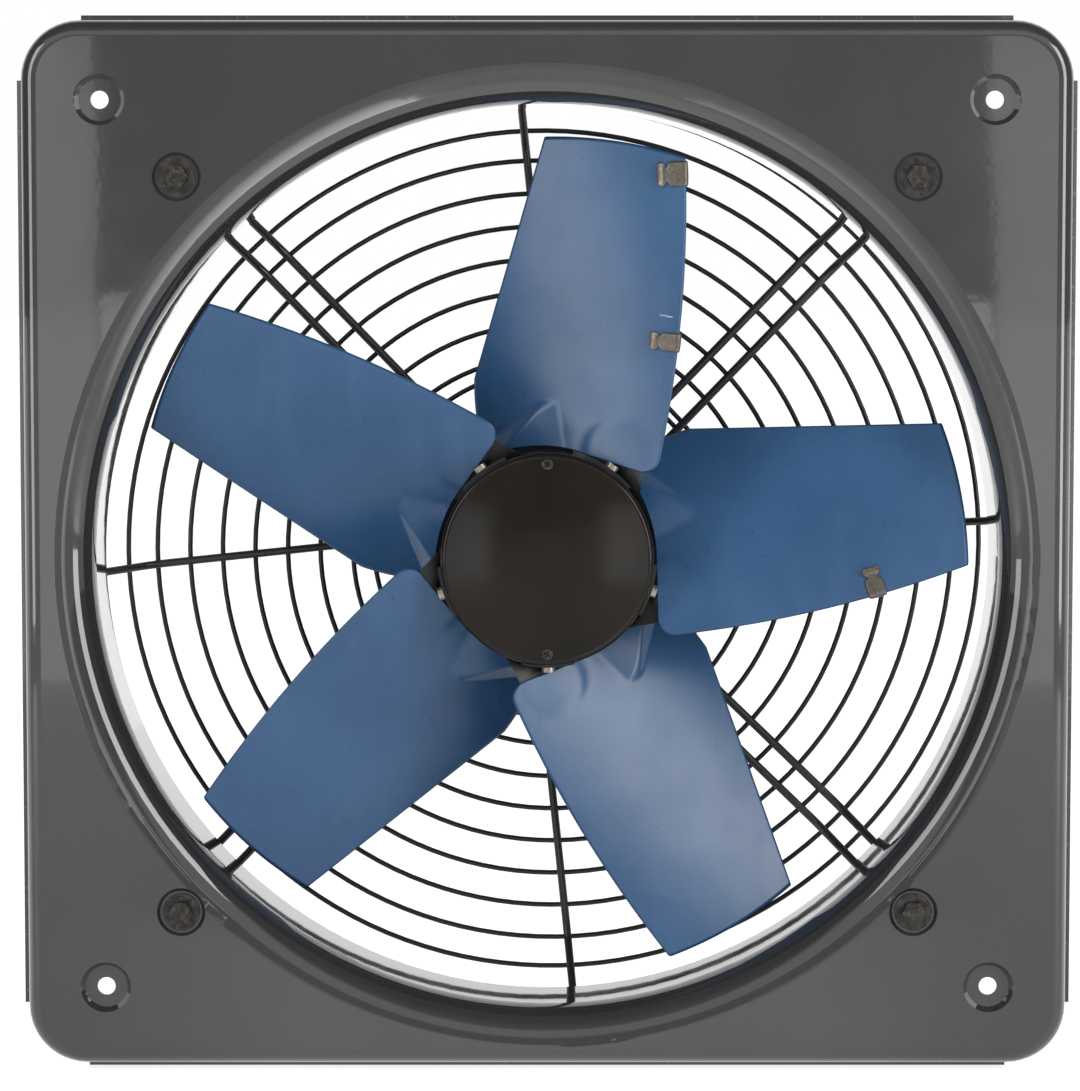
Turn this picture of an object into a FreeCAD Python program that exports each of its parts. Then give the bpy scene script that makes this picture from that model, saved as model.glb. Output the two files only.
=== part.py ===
import FreeCAD, Part
import math
import os

# Plate-mounted axial exhaust fan, in millimetres.
# The fan axis runs along Y, FAN_DROP below the plate's middle, and the air inlet faces -Y.
# The origin is the centre of the four fixing holes, on the rear face of their dimples.
# Depths are measured from the plate's front face.

# Mounting plate
FAN_DROP = 6.0
PLATE_FLAT = 0.5
PAN_CORNER_R = 28.0
SHEET_T = 1.5
EDGE_BEND_R = 8.0
RIM_DEPTH = 14.0
LIP_WIDTH = 2.5
LIP_BEND_R = 1.0
LIP_STAND = 0.5
TIP_CLEARANCE = 15.0
THROAT_DEPTH = 58.0
BELL_R = 18.0
FIXING_INSET = 37.5
FIXING_HOLE_R = 4.25
DIMPLE_FLOOR_R = 10.0
DIMPLE_SLOPE = 2.0
DIMPLE_DEPTH = 3.5
BOLT_MARGIN = 13.0
SEAT_GAP = 1.0
SEAT_SLOPE = 1.5
SEAT_DEPTH = 1.0

# Guard bolts
BOLT_R = 3.0
BOLT_HOLE_CLEARANCE = 0.4
BOLT_HEAD_AF = 10.0
BOLT_HEAD_H = 4.0
BOLT_NUT_H = 4.0
BOLT_TAIL = 0.6
WASHER_R = 9.0
WASHER_T = 1.5
THREAD_GAP = 0.05

# Guard wires
ROD_R = 2.1
ROD_SPACING = 14.0
ROD_INNER_GAP = 3.9
ROD_STAND = 11.5
ROD_KNEE_R = 20.0
ROD_SHOULDER_R = 14.0
ROD_FOOT_R = 8.0
SPOKE_R = 2.0
SPOKE_INNER_U = 46.0
SPOKE_SHORT = 4.0
SPOKE_SKEW_DEG = 6.0
SPOKE_PIVOT_U = 98.0
SPOKE_COUNT = 4
DOME_RUN = 31.0
DOME_DROP = 27.0
WIRE_R = 1.25
RING_R = 87.0
SPIRAL_START_DEG = 10.0
SPIRAL_PITCH = 16.4
SPIRAL_OVERRUN = 4.0
WELD_GAP = 0.05
WIRE_GAP = 0.2

# Motor
MOTOR_PLATE_R = 60.0
MOTOR_PLATE_T = 2.5
MOTOR_SCREW_PITCH_R = 36.0
MOTOR_SCREW_R = 2.5
MOTOR_SCREW_HEAD_R = 4.5
MOTOR_SCREW_HEAD_H = 3.5
MOTOR_SCREW_GRIP = 8.0
FLANGE_R = 47.0
FLANGE_FACE_T = 3.0
FLANGE_WALL = 4.0
FLANGE_DEPTH = 14.5
FLANGE_BOSS_R = 6.0
FLANGE_RIBS = 8
FLANGE_RIB_T = 3.0
WIRE_HOLE_R = 4.0
TUBE_R = 17.0
TUBE_SHOULDER_R = 11.5
TUBE_LEAD = 10.0
TUBE_OVERHANG = 6.5
FIT_GAP = 0.02
STATOR_R = 38.0
STATOR_SLOTS = 12
SLOT_WIDTH = 7.0
SLOT_MOUTH = 2.4
SLOT_FLOOR_R = 23.0
TOOTH_TIP = 2.5
AIR_GAP = 0.6
STATOR_FRONT = 36.0
STATOR_LENGTH = 44.0
WINDING_BORE_GAP = 4.5
WINDING_END_GAP = 4.35
WINDING_H = 8.5
WINDING_ROUND = 3.0

# Bearings
SHAFT_R = 5.0
BEARING_R = 13.0
BEARING_W = 8.0
BEARING_FRONT_INSET = 1.0
BEARING_REAR_INSET = 3.35
INNER_RACE_R = 6.8
OUTER_RACE_R = 11.2
BALL_GAP = 0.1
BALL_COUNT = 8
CIRCLIP_R = 7.0
CIRCLIP_T = 1.0
CIRCLIP_GROOVE = 0.4
CIRCLIP_MOUTH = 3.4
CIRCLIP_PLAY = 0.2
SHAFT_TAIL = 2.0

# Rotor
CAN_R = 48.5
CAN_WALL = 3.0
CAN_FRONT = 4.0
CAN_FACE_T = 5.0
CAN_REAR_GAP = 2.85
CAN_BOSS_R = 11.0
CAN_BOSS_H = 12.0
CAN_EDGE_R = 1.5
CORE_OVERHANG = 2.0
CAP_SKIRT_T = 1.7
CAP_T = 1.5
CAP_DOME = 2.5
CAP_EDGE_R = 3.0
CAP_SKIRT = 3.0
CAP_SKIRT_GAP = 0.3
CAP_SCREW_INSET = 3.5
CAP_SCREW_R = 1.5
CAP_SCREW_HEAD_R = 2.8
CAP_SCREW_HEAD_H = 1.8
CAP_SCREW_BOSS_R = 3.3
CAP_SCREW_SEAT = 1.0
CAP_SCREW_GRIP = 4.0

# Blades. u runs outward along the blade, v crosses it anticlockwise seen from the front.
BLADE_COUNT = 5
BLADE_START_DEG = 9.5
BLADE_TIP_R = 200.0
BLADE_T = 1.8
BLADE_ROOT_GAP = 0.6
BLADE_LOFT_IN_U = 32.0
BLADE_LOFT_MARGIN = 4.0
ROOT_STAGGER_DEG = 33.0
TIP_STAGGER_DEG = 22.5
ROOT_MID_DEPTH = 36.0
TIP_MID_DEPTH = 29.5
ROOT_HALF_CHORD = 68.0
TIP_HALF_CHORD = 48.0
ROOT_CAMBER = 5.0
TIP_CAMBER = 2.5
TRAIL_TIP_V = 30.0
TRAIL_ROOT_U = 78.0
TRAIL_ROOT_V = 46.5
TRAIL_ROOT_DEG = 41.0
TRAIL_ROOT_SWELL = 1.8
LEAD_TIP_V = 36.0
LEAD_MID_U = 139.0
LEAD_MID_V = 43.8
LEAD_ROOT_V = 45.0
ROOT_CORNER_R = 7.5
ROOT_LINE_DEG = -8.7
DART_REACH = 23.0
DART_TIP_DEG = 5.5
DART_LOW_DEG = -1.0
DART_RIDGE_DEG = 28.0
DART_HIGH_DEG = 35.5
DART_HIGH_REACH = 8.0
DART_HEIGHT = 6.5
LOBE_REACH = 7.5
LOBE_DEG = -24.0
LOBE_R = 16.0
LOBE_HEIGHT = 1.0

# Blade brackets
BRACKET_T = 2.5
BRACKET_ARM_REACH = 27.0
BRACKET_ARM_V = -22.0
BRACKET_ARM_HALF_V = 17.0
BRACKET_ARM_ROUND = 8.0
BRACKET_PAD_T = 3.5
BRACKET_PAD_DEG = 28.0
BRACKET_PAD_TURN_DEG = -27.0
BRACKET_PAD_GAP = 0.6
BRACKET_PAD_LENGTH = 28.0
BRACKET_SCREW_INSET = 4.0
BRACKET_SCREW_TURN_DEG = -27.0
BRACKET_SCREW_R = 2.0
BRACKET_SCREW_HEAD_R = 3.2
BRACKET_SCREW_HEAD_H = 2.4
BRACKET_SCREW_ROOM = 0.5

# Balance clips: blade number and distance along the blade from its tip
CLIP_PLACES = ((1, 10.5), (1, 90.0), (0, 48.0))
CLIP_LENGTH = 12.0
CLIP_REACH = 10.0
CLIP_T = 0.8
CLIP_GAP = 0.12

# Terminal box
BOX_STAND = 3.9
BOX_DEPTH = 34.0
BOX_WALL = 2.5
BOX_CORNER_R = 8.0
BOX_POST_R = 4.5
BOX_POST_INSET = 8.0
BOX_STAND_PITCH = 44.0
BOX_STAND_INSET = 16.0
BOX_STAND_R = 5.0
BOX_SCREW_R = 2.0
BOX_SCREW_HEAD_R = 3.8
BOX_SCREW_HEAD_H = 2.8
WIRE_TUBE_R = 11.0
WIRE_TUBE_BORE_R = 8.0
GASKET_T = 1.0
LID_T = 3.0
LID_SCREW_GRIP = 12.0
CAPACITOR_R = 12.0
CAPACITOR_EDGE_R = 1.5
CAPACITOR_L = 50.0
CAPACITOR_GAP = 1.5
CAPACITOR_LIFT = 5.5
SADDLE_T = 5.0
SADDLE_WIDTH = 14.4
SADDLE_PITCH = 20.0
BLOCK_SIZE_X = 40.0
BLOCK_SIZE_Z = 13.0
BLOCK_H = 11.0
BLOCK_Z = -7.0
BLOCK_POLES = 5
BLOCK_SCREW_R = 2.0
BLOCK_SCREW_DEEP = 5.5
BLOCK_WIRE_ROOM = 3.7
CABLE_BORE_R = 5.0
GLAND_THREAD_R = 7.8
GLAND_HEX_AF = 22.0
GLAND_HEX_H = 5.0
GLAND_NECK_H = 9.0
GLAND_CAP_R = 10.6
GLAND_CAP_H = 14.0
GLAND_CAP_EDGE_R = 3.5
GLAND_TAIL = 8.0
GLAND_NUT_H = 4.0

# Working values of the construction
CUT_MARGIN = 1.0
SAME_PLACE = 0.001
TANGENT_STEP = 1e-4
HALVINGS = 40
SPIRAL_SAMPLES_PER_TURN = 68

Vec = FreeCAD.Vector
ORIGIN = Vec(0, 0, 0)
AXIS = Vec(0, 1, 0)
TO_VIEWER = Vec(0, -1, 0)
UP = Vec(0, 0, 1)
RIGHT = Vec(1, 0, 0)

# Values that follow from the driving dimensions
FACE_Y = -(DIMPLE_DEPTH + SHEET_T)
THROAT_R = BLADE_TIP_R + TIP_CLEARANCE
BELL_LIP_R = THROAT_R + BELL_R
PAN_SIZE = 2 * (BELL_LIP_R + FAN_DROP + PLATE_FLAT + EDGE_BEND_R)
FIXING_PITCH = PAN_SIZE - 2 * FIXING_INSET
DIMPLE_R = DIMPLE_FLOOR_R + DIMPLE_SLOPE
BOLT_PITCH = (BELL_LIP_R + BOLT_MARGIN) * math.sqrt(2)
SEAT_FLOOR_R = WASHER_R + SEAT_GAP
SEAT_R = SEAT_FLOOR_R + SEAT_SLOPE
SEAT_REAR = SEAT_DEPTH + SHEET_T
ROD_FOOT_DEPTH = SEAT_REAR + ROD_R + WELD_GAP
FOOT_WASHER_FRONT = ROD_FOOT_DEPTH + ROD_R + WELD_GAP
ROD_INNER_U = BOX_STAND_PITCH / math.sqrt(2) + BOX_STAND_R + ROD_INNER_GAP
ROD_FORWARD_U = THROAT_R + SHEET_T + ROD_STAND
DOME_START_U = ROD_FORWARD_U - DOME_RUN
SPOKE_OUTER_U = ROD_FORWARD_U - SPOKE_SHORT
SPIRAL_TURNS = (ROD_FORWARD_U - RING_R + SPIRAL_OVERRUN) / SPIRAL_PITCH
STATOR_REAR = STATOR_FRONT + STATOR_LENGTH
WINDING_IN_R = TUBE_R + WINDING_BORE_GAP
WINDING_OUT_R = STATOR_R - TOOTH_TIP
FLANGE_FRONT = STATOR_REAR + WINDING_H + WINDING_END_GAP
MOTOR_PLATE_FRONT = FLANGE_FRONT + FLANGE_DEPTH
MOTOR_PLATE_REAR = MOTOR_PLATE_FRONT + MOTOR_PLATE_T
GUARD_DEPTH = MOTOR_PLATE_REAR + WELD_GAP + ROD_R
TUBE_FRONT = STATOR_FRONT - TUBE_LEAD
TUBE_REAR = FLANGE_FRONT + TUBE_OVERHANG
BEARING_FRONT = TUBE_FRONT + BEARING_FRONT_INSET
BEARING_REAR = TUBE_REAR - BEARING_REAR_INSET - BEARING_W
BALL_R = (OUTER_RACE_R - INNER_RACE_R) / 2 - BALL_GAP
CIRCLIP_FRONT = BEARING_REAR + BEARING_W + CIRCLIP_PLAY
CAN_REAR = FLANGE_FRONT - CAN_REAR_GAP
CAP_R = CAN_R + CAP_SKIRT_GAP + CAP_SKIRT_T
CAP_SCREW_PITCH_R = CAN_R - CAP_SCREW_INSET
CAP_SEAT = CAN_FRONT - CAP_T - CAP_EDGE_R + CAP_SCREW_SEAT
PAD_IN_R = CAN_R + WELD_GAP
BRACKET_PAD_FRONT = CAN_FRONT + CAP_SKIRT + BRACKET_PAD_GAP
BRACKET_PAD_REAR = BRACKET_PAD_FRONT + BRACKET_PAD_LENGTH
BRACKET_SCREW_DEPTH = BRACKET_PAD_FRONT + BRACKET_SCREW_INSET
PAD_OUT_R = PAD_IN_R + BRACKET_PAD_T
BLADE_ROOT_R = PAD_OUT_R + BLADE_ROOT_GAP
BLADE_LOFT_OUT_U = BLADE_TIP_R + BLADE_LOFT_MARGIN
BLADE_ZONE_FRONT = ROOT_MID_DEPTH - ROOT_HALF_CHORD
BLADE_ZONE_REAR = ROOT_MID_DEPTH + ROOT_HALF_CHORD
BRACKET_ARM_U = BLADE_ROOT_R + BRACKET_ARM_REACH
BOX_FRONT = GUARD_DEPTH + ROD_R + BOX_STAND
BOX_INSIDE = BOX_FRONT + BOX_WALL
BOX_REAR = BOX_FRONT + BOX_DEPTH
BOX_SIZE = BOX_STAND_PITCH + 2 * BOX_STAND_INSET
BOX_POST_PITCH = BOX_SIZE - 2 * BOX_POST_INSET
CAPACITOR_DEPTH = BOX_INSIDE + CAPACITOR_LIFT + CAPACITOR_R
CAPACITOR_Z = BOX_SIZE / 2 - BOX_WALL - CAPACITOR_GAP - CAPACITOR_R
GLAND_DEPTH = BOX_FRONT + BOX_DEPTH / 2


def at(x, depth, z):
    return Vec(x, FACE_Y + depth, z)


def cylinder(radius, front, rear, x=0.0, z=0.0):
    return Part.makeCylinder(radius, rear - front, at(x, front, z), AXIS)


def ring(inner, outer, front, rear):
    return cylinder(outer, front, rear).cut(cylinder(inner, front, rear))


def cone(front_r, rear_r, front, rear, x=0.0, z=0.0):
    return Part.makeCone(front_r, rear_r, rear - front, at(x, front, z), AXIS)


def box(x0, x1, front, rear, z0, z1):
    return Part.makeBox(x1 - x0, rear - front, z1 - z0, at(x0, front, z0))


def hexagon(across_flats, front, rear, x=0.0, z=0.0):
    corner_r = across_flats / math.sqrt(3)
    points = []
    for side in range(7):
        angle = math.radians(60 * side)
        points.append(at(x + corner_r * math.cos(angle), front, z + corner_r * math.sin(angle)))
    return Part.Face(Part.makePolygon(points)).extrude(AXIS * (rear - front))


def line(start, end):
    return Part.LineSegment(start, end).toShape()


def arc(start, middle, end):
    return Part.Arc(start, middle, end).toShape()


def revolved(edges):
    return Part.Face(Part.Wire(edges)).revolve(ORIGIN, AXIS, 360)


def turned(shape, angle_deg, centre=ORIGIN):
    copy = shape.copy()
    copy.rotate(centre, TO_VIEWER, angle_deg)
    return copy


def fused(shapes):
    return shapes[0].multiFuse(shapes[1:]).removeSplitter()


def lowered(shape):
    # From the fan axis through the origin to its place in the plate
    moved = shape.copy()
    moved.translate(UP * -FAN_DROP)
    return moved


def four_corners(pitch):
    half = pitch / 2
    return ((half, half), (-half, half), (-half, -half), (half, -half))


def quarter_arc_middle(start, corner, end):
    centre = start + end - corner
    radius = (start - centre).Length
    return centre + (corner - centre).normalize() * radius


def rounded_square(half, corner_r, front):
    flat = half - corner_r
    corners = (((half, flat), (half, half), (flat, half)),
               ((-flat, half), (-half, half), (-half, flat)),
               ((-half, -flat), (-half, -half), (-flat, -half)),
               ((flat, -half), (half, -half), (half, -flat)))
    edges = []
    for index, corner in enumerate(corners):
        start, apex, end = (at(x, front, z) for x, z in corner)
        next_start = corners[(index + 1) % 4][0]
        edges.append(arc(start, quarter_arc_middle(start, apex, end), end))
        edges.append(line(end, at(next_start[0], front, next_start[1])))
    return Part.Face(Part.Wire(edges))


# Mounting plate: a pressed pan with a bell mouth, dimples and side lips

def pan_block(half, corner_r, front, rear, bend_r):
    block = rounded_square(half, corner_r, front).extrude(AXIS * (rear - front))
    front_edges = [edge for edge in block.Edges if abs(edge.BoundBox.YMax - (FACE_Y + front)) < SAME_PLACE]
    return block.makeFillet(bend_r, front_edges)


def bell_mouth():
    rear_r = BELL_R - SHEET_T
    lip_r = BELL_LIP_R
    diagonal = math.sqrt(0.5)
    front_mid = at(lip_r - BELL_R * diagonal, BELL_R - BELL_R * diagonal, 0)
    rear_mid = at(lip_r - rear_r * diagonal, BELL_R - rear_r * diagonal, 0)
    outer_r = THROAT_R + SHEET_T
    return revolved([arc(at(lip_r, 0, 0), front_mid, at(THROAT_R, BELL_R, 0)),
                     line(at(THROAT_R, BELL_R, 0), at(THROAT_R, THROAT_DEPTH, 0)),
                     line(at(THROAT_R, THROAT_DEPTH, 0), at(outer_r, THROAT_DEPTH, 0)),
                     line(at(outer_r, THROAT_DEPTH, 0), at(outer_r, BELL_R, 0)),
                     arc(at(outer_r, BELL_R, 0), rear_mid, at(lip_r, SHEET_T, 0)),
                     line(at(lip_r, SHEET_T, 0), at(lip_r, 0, 0))])


def side_lip():
    half = PAN_SIZE / 2
    inside = half - SHEET_T
    front = RIM_DEPTH - SHEET_T
    length = 2 * (half - PAN_CORNER_R)
    z0 = -length / 2
    bend_start = at(half, front - LIP_BEND_R, z0)
    bend_end = at(half + LIP_BEND_R, front, z0)
    bend_mid = quarter_arc_middle(bend_start, at(half, front, z0), bend_end)
    edges = [arc(bend_start, bend_mid, bend_end),
             line(bend_end, at(half + LIP_WIDTH, front, z0)),
             line(at(half + LIP_WIDTH, front, z0), at(half + LIP_WIDTH, RIM_DEPTH, z0)),
             line(at(half + LIP_WIDTH, RIM_DEPTH, z0), at(inside, RIM_DEPTH, z0)),
             line(at(inside, RIM_DEPTH, z0), at(inside, front - LIP_BEND_R, z0)),
             line(at(inside, front - LIP_BEND_R, z0), bend_start)]
    return Part.Face(Part.Wire(edges)).extrude(UP * length)


def mounting_plate():
    half = PAN_SIZE / 2
    rim_end = RIM_DEPTH - LIP_STAND
    pan = pan_block(half, PAN_CORNER_R, 0, rim_end, EDGE_BEND_R)
    hollow = pan_block(half - SHEET_T, PAN_CORNER_R - SHEET_T, SHEET_T, rim_end, EDGE_BEND_R - SHEET_T)
    plate = pan.cut(hollow).cut(cylinder(BELL_LIP_R, 0, RIM_DEPTH, 0, -FAN_DROP))
    added = [lowered(bell_mouth())]
    removed = []
    for x, z in four_corners(FIXING_PITCH):
        rear = DIMPLE_DEPTH + SHEET_T
        added.append(cone(DIMPLE_R + SHEET_T, DIMPLE_FLOOR_R + SHEET_T, SHEET_T / 2, rear, x, z))
        removed.append(cone(DIMPLE_R, DIMPLE_FLOOR_R, 0, DIMPLE_DEPTH, x, z))
        removed.append(cylinder(FIXING_HOLE_R, 0, rear, x, z))
    for x, z in four_corners(BOLT_PITCH):
        added.append(cone(SEAT_R, SEAT_FLOOR_R, SHEET_T / 2, SEAT_REAR, x, z))
        removed.append(cone(SEAT_R, SEAT_FLOOR_R, 0, SEAT_DEPTH, x, z))
        removed.append(cylinder(BOLT_R + BOLT_HOLE_CLEARANCE, 0, SEAT_REAR, x, z))
    added.extend(turned(side_lip(), 90 * side) for side in range(4))
    return plate.multiFuse(added).cut(removed).removeSplitter()


# Bolts that hold the guard's feet to the plate

def guard_bolt(x, z):
    head_front = SEAT_DEPTH - WASHER_T - BOLT_HEAD_H
    tail = FOOT_WASHER_FRONT + WASHER_T + BOLT_NUT_H + BOLT_TAIL
    head = hexagon(BOLT_HEAD_AF, head_front, head_front + BOLT_HEAD_H, x, z)
    return head.fuse(cylinder(BOLT_R, head_front, tail, x, z)).removeSplitter()


def washer(x, z, front):
    disc = cylinder(WASHER_R, front, front + WASHER_T, x, z)
    return disc.cut(cylinder(BOLT_R + BOLT_HOLE_CLEARANCE, front, front + WASHER_T, x, z))


def guard_nut(x, z):
    front = FOOT_WASHER_FRONT + WASHER_T
    nut = hexagon(BOLT_HEAD_AF, front, front + BOLT_NUT_H, x, z)
    return nut.cut(cylinder(BOLT_R + THREAD_GAP, front, front + BOLT_NUT_H, x, z))


# Guard: rods and spokes in front, one spiral wire and an inner ring welded behind them

def rounded_path(points, radii):
    edges = []
    start = points[0]
    for before, corner, after, radius in zip(points, points[1:], points[2:], radii):
        back = (before - corner).normalize()
        ahead = (after - corner).normalize()
        half_turn = (math.pi - back.getAngle(ahead)) / 2
        reach = radius * math.tan(half_turn)
        arc_start = corner + back * reach
        arc_end = corner + ahead * reach
        inward = (back + ahead).normalize()
        middle = corner + inward * (radius / math.cos(half_turn) - radius)
        edges.append(line(start, arc_start))
        edges.append(arc(arc_start, middle, arc_end))
        start = arc_end
    edges.append(line(start, points[-1]))
    return edges


def swept_rod(edges, radius):
    path = Part.Wire(edges)
    start = edges[0].valueAt(edges[0].FirstParameter)
    direction = edges[0].tangentAt(edges[0].FirstParameter)
    section = Part.Wire(Part.makeCircle(radius, start, direction))
    return path.makePipeShell([section], True, False)


def rod_leg(v, foot_u):
    points = [at(ROD_INNER_U, GUARD_DEPTH, v), at(DOME_START_U, GUARD_DEPTH, v),
              at(ROD_FORWARD_U, GUARD_DEPTH - DOME_DROP, v), at(ROD_FORWARD_U, ROD_FOOT_DEPTH, v),
              at(foot_u, ROD_FOOT_DEPTH, v)]
    return rounded_path(points, [ROD_KNEE_R, ROD_SHOULDER_R, ROD_FOOT_R])


def support_rod(bolt_x, bolt_z):
    # A hairpin whose foot loops round the bolt
    foot_u = math.hypot(bolt_x, bolt_z + FAN_DROP)
    v = ROD_SPACING / 2
    loop = arc(at(foot_u, ROD_FOOT_DEPTH, v), at(foot_u + v, ROD_FOOT_DEPTH, 0),
               at(foot_u, ROD_FOOT_DEPTH, -v))
    rod = swept_rod(rod_leg(v, foot_u) + [loop] + rod_leg(-v, foot_u)[::-1], ROD_R)
    return turned(rod, math.degrees(math.atan2(bolt_z + FAN_DROP, bolt_x)))


def guard_spoke(angle_deg):
    slope = DOME_DROP / (ROD_FORWARD_U - DOME_START_U)
    end_depth = GUARD_DEPTH - slope * (SPOKE_OUTER_U - DOME_START_U)
    points = [at(SPOKE_INNER_U, GUARD_DEPTH, 0), at(DOME_START_U, GUARD_DEPTH, 0),
              at(SPOKE_OUTER_U, end_depth, 0)]
    spoke = swept_rod(rounded_path(points, [ROD_KNEE_R]), SPOKE_R)
    return turned(turned(spoke, SPOKE_SKEW_DEG, at(SPOKE_PIVOT_U, 0, 0)), angle_deg)


def spiral_meridian(travel):
    # Radius and depth of the wire's centre after this much travel across the guard's face
    lift = ROD_R + WIRE_R + WIRE_GAP
    slope = math.atan2(DOME_DROP, ROD_FORWARD_U - DOME_START_U)
    bend_r = ROD_KNEE_R + lift
    flat_end = DOME_START_U - ROD_KNEE_R * math.tan(slope / 2)
    radius = RING_R + 2 * WIRE_R + WIRE_GAP + travel
    past = radius - flat_end
    if past <= 0:
        return radius, GUARD_DEPTH + lift
    angle = min(past / bend_r, slope)
    straight = max(past - slope * bend_r, 0)
    radius = flat_end + bend_r * math.sin(angle) + straight * math.cos(slope)
    depth = GUARD_DEPTH + lift - bend_r * (1 - math.cos(angle)) - straight * math.sin(slope)
    return radius, depth


def spiral_point(turn):
    radius, depth = spiral_meridian(SPIRAL_PITCH * turn)
    angle = math.radians(SPIRAL_START_DEG) + 2 * math.pi * turn
    return at(radius * math.cos(angle), depth, radius * math.sin(angle))


def spiral_tangent(turn):
    return (spiral_point(turn + TANGENT_STEP) - spiral_point(turn - TANGENT_STEP)).normalize()


def arc_from_tangent(start, tangent, end):
    chord = end - start
    half_angle = tangent.getAngle(chord)
    bulge = tangent - chord * (tangent.dot(chord) / chord.dot(chord))
    middle = start + chord * 0.5 + bulge.normalize() * (chord.Length / 2 * math.tan(half_angle / 2))
    return arc(start, middle, end)


def biarc(start, start_dir, end, end_dir):
    gap = end - start
    both = start_dir + end_dir
    bend = 2 * (1 - start_dir.dot(end_dir))
    along = gap.dot(both)
    reach = (math.sqrt(along * along + bend * gap.dot(gap)) - along) / bend
    join = (start + start_dir * reach + end - end_dir * reach) * 0.5
    return [arc_from_tangent(start, start_dir, join), arc_from_tangent(end, end_dir * -1, join)]


def guard_spiral():
    steps = max(1, round(SPIRAL_TURNS * 4))
    turns = [SPIRAL_TURNS * step / steps for step in range(steps + 1)]
    edges = []
    for first, last in zip(turns, turns[1:]):
        start, end = spiral_point(first), spiral_point(last)
        edges.extend(biarc(start, spiral_tangent(first), end, spiral_tangent(last)))
    count = int(SPIRAL_TURNS * SPIRAL_SAMPLES_PER_TURN)
    half_turn = SPIRAL_SAMPLES_PER_TURN // 2
    samples = [spiral_point(k / SPIRAL_SAMPLES_PER_TURN) for k in range(count + 1)]
    gap = min(a.distanceToPoint(b) for k, a in enumerate(samples) for b in samples[k + half_turn:])
    print("spiral wire: least gap to itself", round(gap - 2 * WIRE_R, 2), "mm")
    return swept_rod(edges, WIRE_R)


def guard_inner_ring():
    return Part.makeTorus(RING_R, WIRE_R, at(0, GUARD_DEPTH + ROD_R + WIRE_R + WIRE_GAP, 0), AXIS)


# Motor: plate, cast flange, bearing tube, stator and bearings stay still

def on_circle(radius, count, start_deg=0.0):
    places = []
    for k in range(count):
        angle = math.radians(start_deg + 360 / count * k)
        places.append((radius * math.cos(angle), radius * math.sin(angle)))
    return places


def motor_plate():
    plate = cylinder(MOTOR_PLATE_R, MOTOR_PLATE_FRONT, MOTOR_PLATE_REAR)
    holes = [cylinder(WIRE_TUBE_BORE_R, MOTOR_PLATE_FRONT, MOTOR_PLATE_REAR)]
    for x, z in on_circle(MOTOR_SCREW_PITCH_R, 4):
        holes.append(cylinder(MOTOR_SCREW_R + BOLT_HOLE_CLEARANCE, MOTOR_PLATE_FRONT, MOTOR_PLATE_REAR, x, z))
    for x, z in four_corners(BOX_STAND_PITCH):
        holes.append(cylinder(BOX_SCREW_R + THREAD_GAP, MOTOR_PLATE_FRONT, MOTOR_PLATE_REAR, x, z))
    return plate.cut(holes)


def motor_screw(x, z):
    head = cylinder(MOTOR_SCREW_HEAD_R, MOTOR_PLATE_REAR, MOTOR_PLATE_REAR + MOTOR_SCREW_HEAD_H, x, z)
    shank = cylinder(MOTOR_SCREW_R, MOTOR_PLATE_FRONT - MOTOR_SCREW_GRIP, MOTOR_PLATE_REAR, x, z)
    return head.fuse(shank).removeSplitter()


def motor_flange():
    back = FLANGE_FRONT + FLANGE_FACE_T
    tube_seat = TUBE_R + FIT_GAP
    pieces = [ring(tube_seat, FLANGE_R, FLANGE_FRONT, back),
              ring(FLANGE_R - FLANGE_WALL, FLANGE_R, FLANGE_FRONT, MOTOR_PLATE_FRONT),
              ring(tube_seat, tube_seat + FLANGE_WALL, FLANGE_FRONT, MOTOR_PLATE_FRONT)]
    inner = tube_seat + FLANGE_WALL / 2
    outer = FLANGE_R - FLANGE_WALL / 2
    rib_rear = MOTOR_PLATE_FRONT - FLANGE_FACE_T
    rib = box(inner, outer, FLANGE_FRONT, rib_rear, -FLANGE_RIB_T / 2, FLANGE_RIB_T / 2)
    pieces.extend(turned(rib, 360 / FLANGE_RIBS * (k + 0.5)) for k in range(FLANGE_RIBS))
    holes = []
    for x, z in on_circle(MOTOR_SCREW_PITCH_R, 4):
        pieces.append(cylinder(FLANGE_BOSS_R, FLANGE_FRONT, MOTOR_PLATE_FRONT, x, z))
        deep = MOTOR_PLATE_FRONT - MOTOR_SCREW_GRIP - THREAD_GAP
        holes.append(cylinder(MOTOR_SCREW_R + THREAD_GAP, deep, MOTOR_PLATE_FRONT, x, z))
    wire_r = (tube_seat + FLANGE_WALL + FLANGE_R - FLANGE_WALL) / 2
    for x, z in on_circle(wire_r, 1, 45):
        holes.append(cylinder(WIRE_HOLE_R, FLANGE_FRONT, back, x, z))
    return fused(pieces).cut(holes)


def bearing_tube():
    seat_r = BEARING_R + FIT_GAP
    tube = cylinder(TUBE_R, TUBE_FRONT, TUBE_REAR)
    return tube.cut([cylinder(TUBE_SHOULDER_R, TUBE_FRONT, TUBE_REAR),
                     cylinder(seat_r, TUBE_FRONT, BEARING_FRONT + BEARING_W),
                     cylinder(seat_r, BEARING_REAR, TUBE_REAR)])


def stator_core():
    core = ring(TUBE_R + FIT_GAP, STATOR_R, STATOR_FRONT, STATOR_REAR)
    tip_r = STATOR_R - TOOTH_TIP
    slot = box(SLOT_FLOOR_R, tip_r, STATOR_FRONT, STATOR_REAR, -SLOT_WIDTH / 2, SLOT_WIDTH / 2)
    mouth = box(tip_r, STATOR_R + CUT_MARGIN, STATOR_FRONT, STATOR_REAR, -SLOT_MOUTH / 2, SLOT_MOUTH / 2)
    cut = slot.fuse(mouth)
    return core.cut([turned(cut, 360 / STATOR_SLOTS * k) for k in range(STATOR_SLOTS)])


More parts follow.
